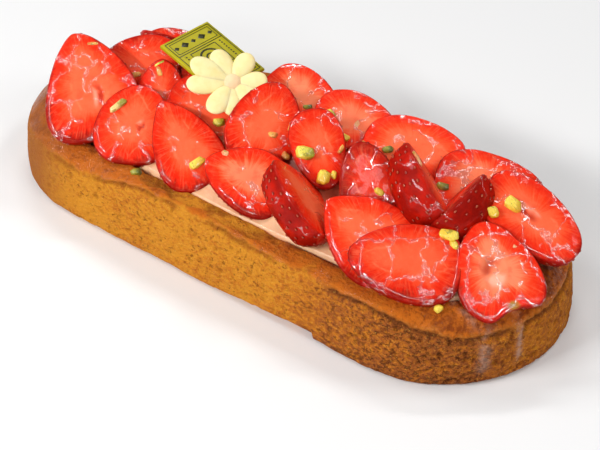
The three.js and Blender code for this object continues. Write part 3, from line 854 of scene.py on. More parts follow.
@dataclass
class Crust:
    """The baked slab: its walls, rim band and recess. Sizes are in millimetres."""

    length: float = 228.0
    width: float = 92.0
    wall_lean: float = 1.6
    foot_inset: float = 1.4
    edge_at_ends: float = 20.5
    edge_at_side: float = 27.0
    side_swell: float = 1.7
    rim_height: float = 27.4
    band_at_side: float = 11.5
    band_at_ends: float = 14.0
    recess_floor: float = 21.0
    recess_slope: float = 0.6
    grain: float = 0.62
    chip_from: float = 3.0
    chip_to: float = 47.0
    chip_rise: tuple[float, float] = (1.3, 5.0)
    chip_depth: float = 4.5

    def edge(self, x: np.ndarray) -> np.ndarray:
        """Give the height of the outer edge at places along the slab.

        Args:
            x: Places in millimetres.

        Returns:
            Heights in millimetres.
        """
        side = self.edge_at_side + self.side_swell * (1.0 - ease(x, -5.0, 40.0))
        near_drop = ease(x, 70.0, 100.0)
        far_drop = 0.78 * (1.0 - ease(x, -62.0, -28.0)) + 0.22 * (1.0 - ease(x, -108.0, -80.0))
        return side + (self.edge_at_ends - side) * np.maximum(near_drop, far_drop)

    def profile(self) -> np.ndarray:
        """Give the section of the slab from its underside up and over the rim into the recess.

        Returns:
            Rows of inset, extra inset at the ends, share of the edge height, and height added to it.
        """
        across = self.band_at_side - self.wall_lean
        extra = self.band_at_ends - self.band_at_side
        rim = self.rim_height

        def band(share: float) -> list[float]:
            inset = self.wall_lean + across * share
            climb = {0.0: 0.0, 0.35: 0.5, 0.7: 0.85}[share]
            return [inset, extra * share, 1.0 - climb, 0.6 * (1.0 - climb) + rim * climb]

        rows = [
            [6.0, 0.0, 0.0, 0.0],
            [self.foot_inset, 0.0, 0.0, 0.0],
            [self.foot_inset / 4, 0.0, 0.0, 1.6],
            [0.0, 0.0, 0.3, 0.0],
            [0.3, 0.0, 0.55, 0.0],
            [0.8, 0.0, 0.8, 0.0],
            [self.wall_lean, 0.0, 0.97, 0.0],
            [self.wall_lean + 1.0, 0.0, 1.0, 0.6],
            band(0.35),
            band(0.7),
            [self.band_at_side, extra, 0.0, rim],
            [self.band_at_side + 0.4, extra, 0.0, rim - 1.0],
            [self.band_at_side + self.recess_slope, extra, 0.0, self.recess_floor],
        ]
        rows = np.array(rows)
        typical = rows[:, 2] * self.edge_at_side + rows[:, 3]
        run = np.hypot(np.diff(rows[:, 0]), np.diff(typical))
        reach = np.concatenate([[0.0], np.cumsum(run)])
        steps = np.linspace(0.0, reach[-1], int(reach[-1] / self.grain))
        fine = np.stack([np.interp(steps, reach, rows[:, k]) for k in range(4)], axis=1)
        soft = fine.copy()
        for _ in range(3):
            soft[1:-1] = (soft[:-2] + 2.0 * soft[1:-1] + soft[2:]) / 4.0
        return soft

    def outline(self) -> tuple[np.ndarray, np.ndarray]:
        """Give the steps around the slab.

        Returns:
            The side of the middle line that each step belongs to, from -1 to 1, and its outward direction.
        """
        radius = self.width / 2
        straight = int((self.length - self.width) / self.grain)
        bend = int(math.pi * radius / self.grain)
        run = np.linspace(-1.0, 1.0, straight, endpoint=False)
        angle = np.linspace(0.0, math.pi, bend, endpoint=False)
        level = np.zeros(straight)
        sides = np.concatenate([run, np.ones(bend), -run, -np.ones(bend)])
        out_x = np.concatenate([level, np.sin(angle), level, -np.sin(angle)])
        out_y = np.concatenate([level - 1.0, -np.cos(angle), level + 1.0, np.cos(angle)])
        return sides, np.stack([out_x, out_y], axis=1)

    def surface(self) -> Surface:
        """Build the slab with its pores, crumbs, browning and painted shade.

        Returns:
            The surface in metres.
        """
        rows = self.profile()
        sides, out = self.outline()
        half = (self.length - self.width) / 2 - rows[:, 1:2]
        radius = self.width / 2 - rows[:, 0:1]
        x = sides * half + out[:, 0] * radius
        y = out[:, 1] * radius
        z = rows[:, 2:3] * self.edge(x) + rows[:, 3:4]
        points = np.stack([x, y, z], axis=2).reshape(-1, 3)
        count = len(sides)
        skin = grid_faces(len(rows), count, True)
        bare = Surface(points, [skin])
        normals = bare.normals()
        depth, traits = self.relief(points, normals, np.repeat(np.arange(len(rows)), count) / (len(rows) - 1))
        points = points + normals * depth[:, None]
        reach = np.array([self.length / 2, self.width / 2])
        points[:, :2] = np.clip(points[:, :2], -reach, reach)
        points = self.chipped(points)
        last = (len(rows) - 1) * count
        base = np.arange(count)[::-1][None, :]
        floor = (last + np.arange(count))[None, :]
        return Surface(points * MM, [skin, base, floor], traits)

    def relief(self, points: np.ndarray, normals: np.ndarray, up: np.ndarray) -> tuple[np.ndarray, dict[str, np.ndarray]]:
        """Work out how far each point stands out, how it is baked, and where shade and a highlight are painted.

        Args:
            points: Places in millimetres.
            normals: Outward directions.
            up: Place on the section, 0 at the underside and 1 at the recess floor.

        Returns:
            Heights in millimetres, and the attributes that the finish reads.
        """
        noise = Noise(3)
        x, y, z = points.T
        height = self.edge(x)
        ragged = z - height + 1.5 * noise.fractal(points, 6.0, 3)
        top = ease(ragged, -0.7, 0.5) * ease(normals[:, 2], 0.05, 0.40)
        wall = (1.0 - top) * ease(z, 0.0, 1.0)
        near = ease(x, 50.0, 100.0)
        far = 1.0 - ease(x, -88.0, -58.0)
        crumbly = wall * (1.0 - 0.8 * far)
        warp = points + 0.9 * np.stack([noise.value(points + 30.0 * k, 2.0) for k in range(3)], axis=1)
        away, mark = noise.cells(warp, 3.4)
        large = ease(away, 0.40, 0.18) * (mark > 0.72 - 0.8 * near)
        away, mark = noise.cells(warp + 11.0, 1.9)
        small = ease(away, 0.45, 0.20) * (mark > 0.45 - 0.4 * near)
        pits = crumbly * np.maximum(large, 0.7 * small)
        broad = 0.32 * noise.fractal(points, 22.0, 2) + 0.22 * noise.fractal(points + 40.0, 6.0, 2)
        crumbs = (0.16 + 0.12 * near) * noise.fractal(points, 2.1, 2)
        wrinkle = np.abs(noise.fractal(points * np.array([1.0, 1.0, 2.0]), 4.2, 3))
        creases = top * (0.35 + 0.65 * near) * ease(wrinkle, 0.14, 0.0)
        torn = ease(noise.fractal(points * np.array([0.5, 0.5, 1.0]) + 60.0, 6.0, 3), -0.35, 0.15)
        lip = ease(ragged, -2.4, -1.1) * ease(ragged, 0.2, -0.7) * torn * (1.0 - far)
        depth = broad + crumbs * (0.3 + 0.7 * crumbly) - (0.65 + 0.4 * near) * pits - 0.45 * creases - 0.95 * lip
        depth = depth * ease(up, 0.02, 0.09) * ease(up, 0.93, 0.86)
        patches = noise.fractal(points + 90.0, 30.0, 2)
        # Painted shade and light on the near end: darker on its front part and lighter past its middle. The bake is
        # also darker in the crevice under the rim, as painted shade, and towards the bottom.
        shaded = near * (0.20 - 0.30 * ease(y, -36.0, -8.0))
        brown = 0.02 + 0.42 * ease(x, 8.0, 66.0) + shaded + 0.12 * far + 0.12 * patches
        brown = brown + 0.15 * lip + 0.12 * ease(z, 5.0, 0.0)
        # Painted shade in the pits and in the crevice under the rim.
        pore_shade = np.clip(0.85 * pits + 1.2 * lip, 0.0, 1.0)
        tan = np.clip(far * (0.9 + 0.3 * patches), 0.0, 1.0)
        inner = ease(self.width / 2 - np.abs(y), 7.0, 11.0) * top
        # Painted shade: the band is darker in its creases and along its inner edge under the fruit.
        band = -0.10 + 0.30 * creases + 0.20 * inner - 0.06 * near
        drips = np.maximum(self.drip(points, -28.0, 1.7), self.drip(points, -16.5, 1.2)) * (x > 90.0)
        drips = drips * ease(z, 3.0, 9.0) * ease(noise.fractal(points, 3.0, 2), -0.5, 0.1)
        glaze = np.clip(top * ease(noise.fractal(points + 15.0, 9.0, 2), -0.5, 0.3) + 0.8 * drips, 0.0, 1.0)
        traits = {
            "bake_and_shade": brown, "pore_shade": pore_shade * (1.0 - drips), "glaze": glaze, "tan": tan, "top": top,
            "band": band, "crumb": crumbly, "film": drips,
            # crest marks where the painted highlight runs along the rim.
            "crest": np.exp(-(((ragged - 0.1) / 0.5) ** 2)) * (0.25 + 0.75 * near) * (1.0 - far),
        }
        return depth * (1.0 - 0.8 * drips), traits

    def drip(self, points: np.ndarray, y: float, width: float) -> np.ndarray:
        """Mark a streak of glaze that ran down the near end.

        Args:
            points: Places in millimetres.
            y: Where the streak is at the floor.
            width: Its width.

        Returns:
            1 in the middle of the streak, falling to 0.
        """
        return np.exp(-(((points[:, 1] - y - 0.12 * points[:, 2]) / width) ** 2))

    def chipped(self, points: np.ndarray) -> np.ndarray:
        """Break a piece off the lower front edge and roughen the rest of it.

        Args:
            points: Places in millimetres.

        Returns:
            The changed places.
        """
        x, y, z = points.T
        low, high = self.chip_rise
        share = (x - self.chip_from) / (self.chip_to - self.chip_from)
        inside = (share > 0.0) & (share < 1.0)
        deep = ease(y, self.chip_depth - self.width / 2, -self.width / 2)
        ragged = 1.0 + 0.3 * Noise(8).fractal(points, 4.0, 3)
        rise = np.where(inside, (low + (high - low) * share) * deep * ragged, 0.0)
        straight = (self.length - self.width) / 2
        inside = self.width / 2 - np.hypot(np.maximum(np.abs(x) - straight, 0.0), y)
        crumbled = 1.5 * np.clip(Noise(9).fractal(points * np.array([1.0, 1.0, 0.0]), 3.2, 3), 0.0, 1.0)
        rise = np.maximum(rise, crumbled * ease(inside, 1.6, 0.4))
        return np.stack([x, y, np.maximum(z, rise)], axis=1)

    def make(self) -> None:
        """Build the crust."""
        self.surface().piece("baked_crust", BakedCrust(), "crust")


@dataclass
class Cream:
    """The low mound of cream in the recess. Sizes are in millimetres."""

    crust: Crust
    dome: float = 11.0
    ripple: float = 0.5
    gap: float = 0.3
    rows: int = 60
    count: int = 220

    def make(self) -> None:
        """Build the cream."""
        noise = Noise(5)
        inset = self.crust.recess_slope + self.gap - 0.4
        radius = self.crust.width / 2 - self.crust.band_at_side - inset
        half = (self.crust.length - self.crust.width) / 2 - self.crust.band_at_ends + self.crust.band_at_side
        angle = np.linspace(0.0, 2.0 * math.pi, self.count, endpoint=False)
        out_x, out_y = np.cos(angle), np.sin(angle)
        share = np.linspace(1.0, 0.02, self.rows)[:, None]
        reach = np.sign(out_x) * np.minimum(np.abs(out_x) * 1.6, 1.0) * half * (1.0 - 0.0 * share)
        x = (reach + out_x * radius * share) * np.where(share < 1.0, 1.0, 1.0)
        x = x * (1.0 - 0.35 * (1.0 - share) * np.abs(out_x))
        y = out_y * radius * share
        dome = self.dome * np.power(1.0 - share**2, 1.2)
        wave = self.ripple * np.sin(x * 0.23) * np.cos(y * 0.31) * np.sin(math.pi * share)
        z = self.crust.rim_height + dome + wave
        points = np.stack([x, y, z + np.zeros_like(x)], axis=2).reshape(-1, 3)
        points[:, 2] += 0.35 * noise.fractal(points, 9.0, 2) * np.repeat(ease(1.0 - share[:, 0], 0.0, 0.1), self.count)
        foot = points[: self.count].copy()
        foot[:, 2] = self.crust.recess_floor + self.gap
        points = np.concatenate([foot, points])
        rows = self.rows + 1
        top = (self.rows * self.count + np.arange(self.count))[None, :]
        under = np.arange(self.count)[::-1][None, :]
        straight = (self.crust.length - self.crust.width) / 2
        out = np.hypot(np.maximum(np.abs(points[:, 0]) - straight, 0.0), points[:, 1])
        inner = ease(self.crust.width / 2 - out, 22.0, 31.0)
        surface = Surface(points * MM, [grid_faces(rows, self.count, True), top, under], {"inner": inner})
        surface.piece("cream_mound", WhippedCream(), "cream")


class Heart(Enum):
    """What shows in the middle of a cut strawberry."""

    PLAIN = 0
    SLIT = 1
    HOLLOW = 2
    PITH = 3


@dataclass
class Strawberry:
    """A halved strawberry in millimetres and degrees, with its tip towards its own +X and its cut face up."""

    name: str
    at: tuple[float, float, float]
    faces: tuple[float, float]
    turn: float
    size: tuple[float, float, float]
    form: tuple[float, float, float]
    bend: float = 0.0
    dimple: float = 0.0
    heart: Heart = Heart.PLAIN
    heart_at: tuple[float, float] = (-2.0, 0.0)
    heart_size: tuple[float, float] = (9.0, 2.2)
    heart_turn: float = 0.0
    # Darker reds for riper fruit, and painted shade on faces turned away from the light.
    ripe: float = 0.1
    pale: float = 0.3
    gel: float = 0.4
    stem: float = 0.0
    # How much further the dark red of the rim reaches in where it faces down: painted shade.
    under: float = 1.8
    beads: tuple[tuple[float, float], ...] = ()
    seed: int = 0
    around: int = 152
    face_rows: int = 26
    back_rows: int = 30
    rounding: float = 0.9
    seed_spacing: float = 3.4

    def pose(self) -> Matrix:
        """Give the pose of the cut face in the tart."""
        return pose_of(self.faces, self.turn, self.at)

    def swell(self, angle: np.ndarray) -> np.ndarray:
        """Give the half width of the outline as a share of the largest.

        Args:
            angle: Angle round the outline, 0 at the tip and pi at the stem end.

        Returns:
            Shares from -1 to 1, negative on the side of -Y.
        """
        def width(turn: np.ndarray) -> np.ndarray:
            taper, tip, shoulder = self.form
            power = shoulder + (tip - shoulder) * (1.0 + np.cos(turn)) / 2.0
            return np.power(np.abs(np.sin(turn)), power) * (1.0 - taper * np.cos(turn))

        full = width(np.linspace(0.0, math.pi, 181)).max()
        return np.sign(np.sin(angle)) * width(angle) / full

    def outline(self, angle: np.ndarray) -> np.ndarray:
        """Give points of the outline of the cut face.

        Args:
            angle: Angle round the outline.

        Returns:
            Places along and across the berry.
        """
        length, width, _ = self.size
        x = length / 2 * np.cos(angle)
        y = width / 2 * self.swell(angle)
        notch = self.dimple * np.exp(-(((angle - math.pi) / 0.22) ** 2))
        return np.stack([x + notch, y + self.bow(x)], axis=1)

    def bow(self, x: np.ndarray) -> np.ndarray:
        """Give the sideways bend at places along the berry."""
        return self.bend * (1.0 - (2.0 * x / self.size[0]) ** 2)

    def surface(self) -> Surface:
        """Build the cut face, its rounded rim and the back with its dimples.

        Returns:
            The surface in metres, in the tart's frame.
        """
        noise = Noise(100 + self.seed)
        angle = np.linspace(0.0, 2.0 * math.pi, self.around, endpoint=False)
        edge = self.rim(angle)
        centre = np.array([0.0, self.bend])
        share = np.linspace(0.0, 1.0, self.face_rows + 1)[1:]
        share = np.sqrt(0.9 * share + 0.1 * share**4)
        flat = centre + (edge - centre)[None] * share[:, None, None]
        gap = (1.0 - share[:, None]) * np.linalg.norm(edge - centre, axis=1)[None]
        curve = np.maximum(self.rounding - gap, 0.0)
        drop = self.rounding - np.sqrt(np.maximum(self.rounding**2 - curve**2, 0.0))
        face = np.dstack([flat, -0.75 * drop]).reshape(-1, 3)
        climb = np.arange(1, self.back_rows + 1) / (self.back_rows + 0.6) * math.pi / 2
        turn, lift = (grid.ravel() for grid in np.meshgrid(angle, climb))
        back = self.back(turn, lift)
        back[:, 2] += 0.35 * noise.fractal(back, 8.0, 2) * ease(lift, 0.0, 0.3)
        pit = self.dimples(back)
        back[:, 2] += 0.34 * pit
        middle = np.array([[centre[0], centre[1], 0.0]])
        points = np.concatenate([middle, face, back])
        depth = np.concatenate([[0.5 * self.size[1]], gap.ravel(), np.zeros(len(back))])
        skin = np.concatenate([np.zeros(1 + len(face)), np.ones(len(back))])
        skin[1 + len(face) - self.around : 1 + len(face)] = 0.35
        pit = np.concatenate([np.zeros(1 + len(face)), pit])
        run = np.concatenate([[0.0], np.cumsum(np.linalg.norm(np.roll(edge, -1, axis=0) - edge, axis=1))])
        around = np.tile(2.0 * math.pi * run[:-1] / run[-1], self.face_rows + self.back_rows)
        around = np.concatenate([[0.0], around])
        step = np.arange(self.around)
        first = np.stack([0 * step, 1 + step, 1 + (step + 1) % self.around], axis=1)
        rows = self.face_rows + self.back_rows
        quads = grid_faces(rows, self.around, True)[:, ::-1] + 1
        cap = (1 + (rows - 1) * self.around + step)[None, ::-1]
        points, traits = self.marks(points, depth, skin, noise)
        size = run[-1] / (2.0 * math.pi)
        ray = np.stack([size * np.cos(around), size * np.sin(around), 0.05 * depth + 9.0 * self.seed], axis=1)
        out = np.column_stack([points[:, :2] - centre, np.zeros(len(points))])
        out = out / np.maximum(np.linalg.norm(out, axis=1, keepdims=True), 1.0)
        # Painted shade: the dark red of the rim reaches further in where the rim faces down.
        down = -(out @ np.array(self.pose().to_3x3())[2])
        traits["low"] = self.under * ease(down, -0.1, 0.8)
        traits["ray"] = ray
        traits["pit"] = pit
        return Surface(points * MM, [first, quads, cap], traits).moved(self.pose())

    def rim(self, angle: np.ndarray) -> np.ndarray:
        """Give the outline with the small unevenness of a cut by hand.

        Args:
            angle: Angle round the outline.

        Returns:
            Places along and across the berry.
        """
        noise = Noise(100 + self.seed)
        circle = np.stack([np.cos(angle), np.sin(angle), 0.0 * angle], axis=1)
        uneven = 1.0 + 0.022 * noise.fractal(circle, 0.5, 2)
        centre = np.array([0.0, self.bend])
        return centre + (self.outline(angle) - centre) * uneven[:, None]

    def back(self, angle: np.ndarray, climb: np.ndarray) -> np.ndarray:
        """Give places on the rounded back.

        Args:
            angle: Angle round the outline.
            climb: Angle down from the rim, 0 there and a quarter turn at the deepest place.

        Returns:
            Places in millimetres.
        """
        length, width, depth = self.size
        edge = self.rim(angle)
        spine = np.clip(edge[:, 0], -0.30 * length, 0.22 * length)
        middle = np.stack([spine, self.bow(edge[:, 0])], axis=1)
        ring = middle + (edge - middle) * np.cos(climb)[:, None]
        spread = np.hypot(*(edge - middle).T)
        fall = 0.55 + 0.45 * np.clip(spread / (0.5 * width), 0.0, 1.0)
        return np.column_stack([ring, -depth * np.sin(climb) * fall - 0.75 * self.rounding])

    def seats(self) -> tuple[np.ndarray, np.ndarray]:
        """Scatter the seeds over the back in staggered rows.

        Returns:
            Their angles round the outline and down from the rim.
        """
        source = np.random.default_rng(500 + self.seed)
        length, width, depth = self.size
        turns, climbs = [], []
        start = 1.3 / depth
        for row, climb in enumerate(np.arange(start, 1.2, self.seed_spacing / (0.5 * (depth + width / 2)))):
            count = max(6, int(2.6 * (length + width) / 2 * math.cos(climb) / self.seed_spacing))
            turn = (np.arange(count) + 0.5 * (row % 2) + source.uniform(-0.30, 0.30, count)) / count
            turns.append(2.0 * math.pi * turn)
            climbs.append(climb + source.uniform(-0.07, 0.07, count))
        return np.concatenate(turns), np.concatenate(climbs)

    def dimples(self, points: np.ndarray) -> np.ndarray:
        """Find how deep each point lies in the dimple of a seed.

        Args:
            points: Places on the back.

        Returns:
            Shares from 0 to 1.
        """
        seats = self.back(*self.seats())
        away = np.linalg.norm(points[:, None] - seats[None], axis=2).min(axis=1)
        return ease(away, 1.0, 0.2)

    def seeds(self) -> Surface:
        """Build the seeds in their dimples.

        Returns:
            The surface in metres, in the tart's frame.
        """
        turn, climb = self.seats()
        at = self.back(turn, climb)
        down = self.back(turn, climb + 0.02) - at
        side = self.back(turn + 0.02, climb) - at
        normal = np.cross(side, down)
        normal /= np.linalg.norm(normal, axis=1, keepdims=True)
        along = np.array([1.0, 0.0, 0.0]) - normal * normal[:, :1]
        along /= np.maximum(np.linalg.norm(along, axis=1, keepdims=True), 0.05)
        across = np.cross(normal, along)
        lift = np.linspace(0.0, math.pi, 5)[:, None]
        spin = np.linspace(0.0, 2.0 * math.pi, 7, endpoint=False)[None]
        x = (np.cos(lift) + 0.0 * spin).ravel()
        y = (np.sin(lift) * np.cos(spin) * (1.0 - 0.25 * np.cos(lift))).ravel()
        z = (np.sin(lift) * np.sin(spin)).ravel()
        size = np.random.default_rng(900 + self.seed).uniform(0.85, 1.15, len(at))[:, None, None]
        grain = 0.56 * x[:, None] * along[:, None] + 0.34 * y[:, None] * across[:, None] + 0.24 * z[:, None] * normal[:, None]
        points = at[:, None] - 0.10 * normal[:, None] + size * grain
        quads = grid_faces(5, 7, True)
        faces = (np.arange(len(at))[:, None, None] * len(x) + quads[None]).reshape(-1, 4)
        return Surface(points.reshape(-1, 3) * MM, [faces]).moved(self.pose())

    def marks(
        self, points: np.ndarray, gap: np.ndarray, skin: np.ndarray, noise: Noise
    ) -> tuple[np.ndarray, dict[str, np.ndarray]]:
        """Press in the heart, raise the glaze, and note the colours.

        Args:
            points: Places in millimetres in the berry's own frame.
            gap: Distance from the rim.
            skin: 0 on the cut face and 1 on the back.
            noise: The berry's own noise.

        Returns:
            The changed places, and the attributes that the finish reads.
        """
        length, width, _ = self.size
        x, y, z = points.T.copy()
        face = 1.0 - skin
        level = y - self.bow(x)
        lean = math.radians(self.heart_turn)
        dx, dy = x - self.heart_at[0], level - self.heart_at[1]
        along = (dx * math.cos(lean) + dy * math.sin(lean)) / (self.heart_size[0] / 2)
        across = (dy * math.cos(lean) - dx * math.sin(lean)) / (self.heart_size[1] / 2)
        wander = 0.25 * noise.value(points, 3.0)
        reach = np.hypot(along, across + wander)
        inside = ease(reach, 1.25, 0.55) * face
        heart = np.zeros(len(x))
        pith = np.zeros(len(x))
        # The heart is pressed in, and its darker colour is painted shade in the slit and hollow.
        if self.heart is Heart.SLIT:
            z -= 0.9 * inside
            heart = ease(reach, 1.1, 0.5) * face * 0.85
            pith = np.exp(-(((across - 1.6) / 0.8) ** 2)) * ease(np.abs(along), 1.3, 0.5) * face * 0.6
        elif self.heart is Heart.HOLLOW:
            z -= 1.4 * inside * ease(along, -0.6, 0.4)
            heart = ease(reach, 1.2, 0.6) * ease(along + wander, 0.0, 0.4) * face * 0.7
            pith = ease(reach, 1.15, 0.5) * ease(along + wander, 0.2, -0.3) * face
        elif self.heart is Heart.PITH:
            z -= 0.3 * inside
            pith = ease(reach, 1.2, 0.3) * face * 0.7
        z += face * ease(gap, 0.0, 2.5) * (0.22 * noise.fractal(points, 6.0, 2) + 0.25 * ease(gap, 0.0, 5.0))
        stem = ease(np.hypot(x + length / 2 - self.dimple - 1.2, y), 2.6, 1.0) * self.stem
        turn = np.degrees(np.arccos(np.clip(2.0 * x / length, -1.0, 1.0)))
        turn = np.where(level < 0.0, 360.0 - turn, turn)
        bead = np.zeros(len(x))
        for start, end in self.beads:
            bead = np.maximum(bead, ease(turn, start - 4.0, start + 4.0) * ease(turn, end + 4.0, end - 4.0))
        reach = np.clip(x / length / 0.76 + 0.5, 0.0, 1.0)
        core = np.abs(level) - 0.19 * width * np.power(np.sin(math.pi * reach), 0.8)
        even = np.ones(len(x))
        traits = {
            "gap": gap, "core": core, "skin": skin, "heart": heart, "pith": pith, "stem": stem,
            "ripe": self.ripe * even, "pale": self.pale * even, "gel": self.gel * even,
            "bead": bead,
        }
        return np.stack([x, y, z], axis=1), traits

    def make(self) -> None:
        """Build the berry."""
        self.surface().piece(self.name + "_half", GlazedBerry(), self.name)


@dataclass
class Fruit:
    """All the halved strawberries."""

    def berries(self) -> list[Strawberry]:
        """List the berries in the order in which they are laid.

        Returns:
            The berries.
        """
        hollow, slit, pith = Heart.HOLLOW, Heart.SLIT, Heart.PITH
        table = {
            "rear_1": ((-78, 27, 36), (195, 50), 6, (33, 26, 11), (0.25, 0.9, 0.9), {}),
            "rear_2": ((-50, 28, 36), (176, 48), -8, (32, 27, 11), (0.3, 1, 0.8), {"heart": slit}),
            "rear_3": ((-21, 28, 36), (182, 50), 10, (33, 26, 11), (0.35, 1.1, 0.8), {}),
            "rear_4": ((8, 28, 36), (178, 47), -5, (31, 28, 11), (0.2, 0.9, 0.8), {"heart": hollow}),
            "rear_5": ((38, 28, 36), (184, 49), 12, (33, 26, 11), (0.35, 1, 0.8), {}),
            "rear_6": ((67, 27, 36), (172, 48), -10, (32, 27, 11), (0.3, 0.9, 0.8), {"heart": slit}),
            "back_1": ((-64, 14, 40), (25, 66), 99, (34, 25, 12), (0.2, 1, 0.8), {"beads": ((150, 205),), "ripe": 0.45, "gel": 1}),
            "back_2": ((-40, 12, 45), (20, 78), 95, (30, 26, 12), (0.25, 0.9, 0.9), {}),
            "back_3": ((-5.4, 14.8, 46.6), (30, 70), 124, (32, 24, 12), (0.2, 0.85, 0.75), {
                "pale": 1.0, "gel": 0.8, "ripe": 0.0}),
            "back_4": ((19.5, 13, 48), (30, 70), 100, (30, 26, 12), (0.25, 0.85, 0.75), {"pale": 0.8}),
            "back_5": ((45.5, 13, 47), (35, 70), 102, (36, 28, 12), (0.15, 0.62, 0.8), {"ripe": 0.0}),
            "back_6": ((76, 15, 44.5), (40, 70), 104, (38, 28, 12), (0.2, 0.8, 0.7), {"beads": ((150, 190), (60, 90)), "pale": 0.8, "gel": 1}),
            "middle_1": ((-68.5, -1.5, 43.5), (20, 58), -94, (30, 25, 12), (0.2, 0.9, 0.8), {"ripe": 0.45}),
            "middle_2": ((-52, -9, 40), (25, 45), -9, (27, 20, 11), (0.2, 1, 0.8), {"heart": pith, "gel": 0.7}),
            "middle_3": ((-28.5, -8.5, 40.5), (35, 55), 147, (37, 26, 12), (0.3, 0.9, 0.9), {"ripe": 0.2}),
            "middle_4": ((-4.5, -6.5, 47), (45, 50), 26, (32, 26, 13), (0.2, 1, 0.8), {}),
            "middle_5": ((20.7, -7.9, 48.2), (45, 50), 172, (29, 19.5, 11), (0.2, 0.9, 0.8), {"beads": ((265, 300),), "ripe": 0.1}),
            # Its darker colour and wider dark rim are painted shade on a face turned away from the light.
            "middle_6": ((42, -8, 43.5), (25, 35), -22, (28, 22, 12), (0.3, 0.9, 0.8), {"under": 4.0, "gel": 0.5, "ripe": 0.8}),
            "middle_7": ((62.9, -0.4, 49), (140, 30), 38, (31, 27, 14), (0.35, 1.2, 0.8), {"ripe": 0.3}),
            "end": ((96, 11.2, 42.8), (50, 60), 142, (39, 24, 13), (0.1, 0.8, 0.75), {"beads": ((285, 318),), "gel": 0.6, "heart": slit}),
            "middle_8": ((72.2, 0.1, 45.8), (-82, 39), -46, (26, 22, 14), (0.35, 1, 0.8), {"ripe": 1.0}),
            "front_1": ((-75.5, -25, 43), (28, 56), -20, (43, 35, 13), (0.4, 1, 0.75), {"under": 3.5, "beads": ((80, 150),), "bend": -2.5, "heart": slit, "heart_at": (-5.0, -3.5), "heart_size": (10.0, 2.4), "gel": 0.9}),
            "front_2": ((-50.5, -25.5, 37), (30, 58), 0, (31, 29, 12), (0.15, 0.9, 0.75), {"beads": ((98, 140),), "heart": slit, "heart_at": (-1.0, -3.0), "heart_size": (5.0, 1.8), "heart_turn": -30.0}),
            "front_3": ((-27.5, -24.5, 38.3), (35, 56), -30, (37, 25, 12), (0.4, 1.3, 0.8), {"under": 2.6, "beads": ((98, 124),), "gel": 0.1}),
            "front_4": ((2.5, -26, 36.7), (30, 58), -66, (33, 24.5, 12), (0.25, 1.1, 0.8), {"under": 3.0, "beads": ((66, 125),), "bend": -1, "ripe": 0.05, "pale": 0.9, "gel": 0.1}),
            "front_5": ((29.2, -25.5, 41.6), (132, 43), 27, (33, 26, 13), (0.3, 1, 0.8), {"ripe": 0.0, "gel": 0.1}),
            "front_6": ((56, -25.5, 37.5), (35, 56), -50, (39, 30, 12), (0.3, 1.3, 0.75), {"beads": ((42, 88),), "gel": 0.2}),
            "front_7": ((72.5, -28, 37), (38, 60), -80, (38, 28, 13), (0.25, 1, 0.6), {"under": 3.8, "beads": ((50, 125), (140, 215)), "ripe": 0.3, "gel": 1}),
            "front_8": ((97.7, -10.3, 35), (45, 54), -16, (34, 29, 12), (0.3, 0.9, 0.7), {
                "bend": 1, "dimple": 2.5, "heart": hollow, "heart_at": (-1.0, 1.0), "beads": ((112, 152),),
                "heart_size": (12.0, 8.0), "ripe": 0.0, "pale": 1.0, "gel": 1, "stem": 1.0}),
        }
        rows = [Strawberry("strawberry_" + name, *sizes, **look) for name, (*sizes, look) in table.items()]
        for number, berry in enumerate(rows):
            berry.seed = number
        return rows

    def make(self) -> dict[str, Strawberry]:
        """Build the berries.

        Returns:
            The berries by name.
        """
        berries = self.berries()
        for berry in berries:
            berry.make()
        Surface.joined([berry.seeds() for berry in berries]).piece("berry_seeds", Achene())
        return {berry.name: berry for berry in berries}


@dataclass
class Nib:
    """A pistachio nib on a berry or, with on left out, on the rim. Sizes are in millimetres."""

    at: tuple[float, ...]
    size: tuple[float, float, float]
    turn: float
    tone: Tone
    on: str = ""
    sink: float = 0.8

    def surface(self, seed: int, berries: dict[str, Strawberry]) -> Surface:
        """Build one angular nib.

        Args:
            seed: Seed of its shape.
            berries: The berries by name.

        Returns:
            The surface in metres.
        """
        source = np.random.default_rng(seed)
        shape = bmesh.new()
        length, width, height = self.size
        for corner in range(8):
            sign = np.array([corner & 1, corner >> 1 & 1, corner >> 2 & 1]) * 2.0 - 1.0
            spot = sign * source.uniform(0.50, 0.88, 3)
            shape.verts.new(spot * np.array([length, width, height]) / 2)
        for side in range(6):
            spot = source.uniform(-0.35, 0.35, 3)
            spot[side % 3] = 1.0 if side < 3 else -1.0
            shape.verts.new(spot * np.array([length, width, height]) / 2)
        bmesh.ops.convex_hull(shape, input=shape.verts, use_existing_faces=False)
        loose = [vert for vert in shape.verts if not vert.link_faces]
        bmesh.ops.delete(shape, geom=loose, context="VERTS")
        bmesh.ops.bevel(
            shape, geom=shape.edges, offset=0.08 * height, segments=2, profile=0.6,
            affect="EDGES", clamp_overlap=True)
        bmesh.ops.triangulate(shape, faces=shape.faces)
        shape.verts.index_update()
        points = np.array([vert.co for vert in shape.verts])
        faces = np.array([[vert.index for vert in face.verts] for face in shape.faces])
        shape.free()
        end = points[:, 0] / length + 0.5
        pose = Matrix.Rotation(math.radians(self.turn), 4, "Z")
        if self.on:
            place = Vector((self.at[0], self.at[1], height / 2 - self.sink)) * MM
            host = berries[self.on]
            pose = host.pose() @ Matrix.Translation(place) @ pose
        else:
            lift = Vector((self.at[0], self.at[1], self.at[2] + height / 2 - self.sink)) * MM
            pose = Matrix.Translation(lift) @ pose
        return Surface(points * MM, [faces], {"end": end}).moved(pose)


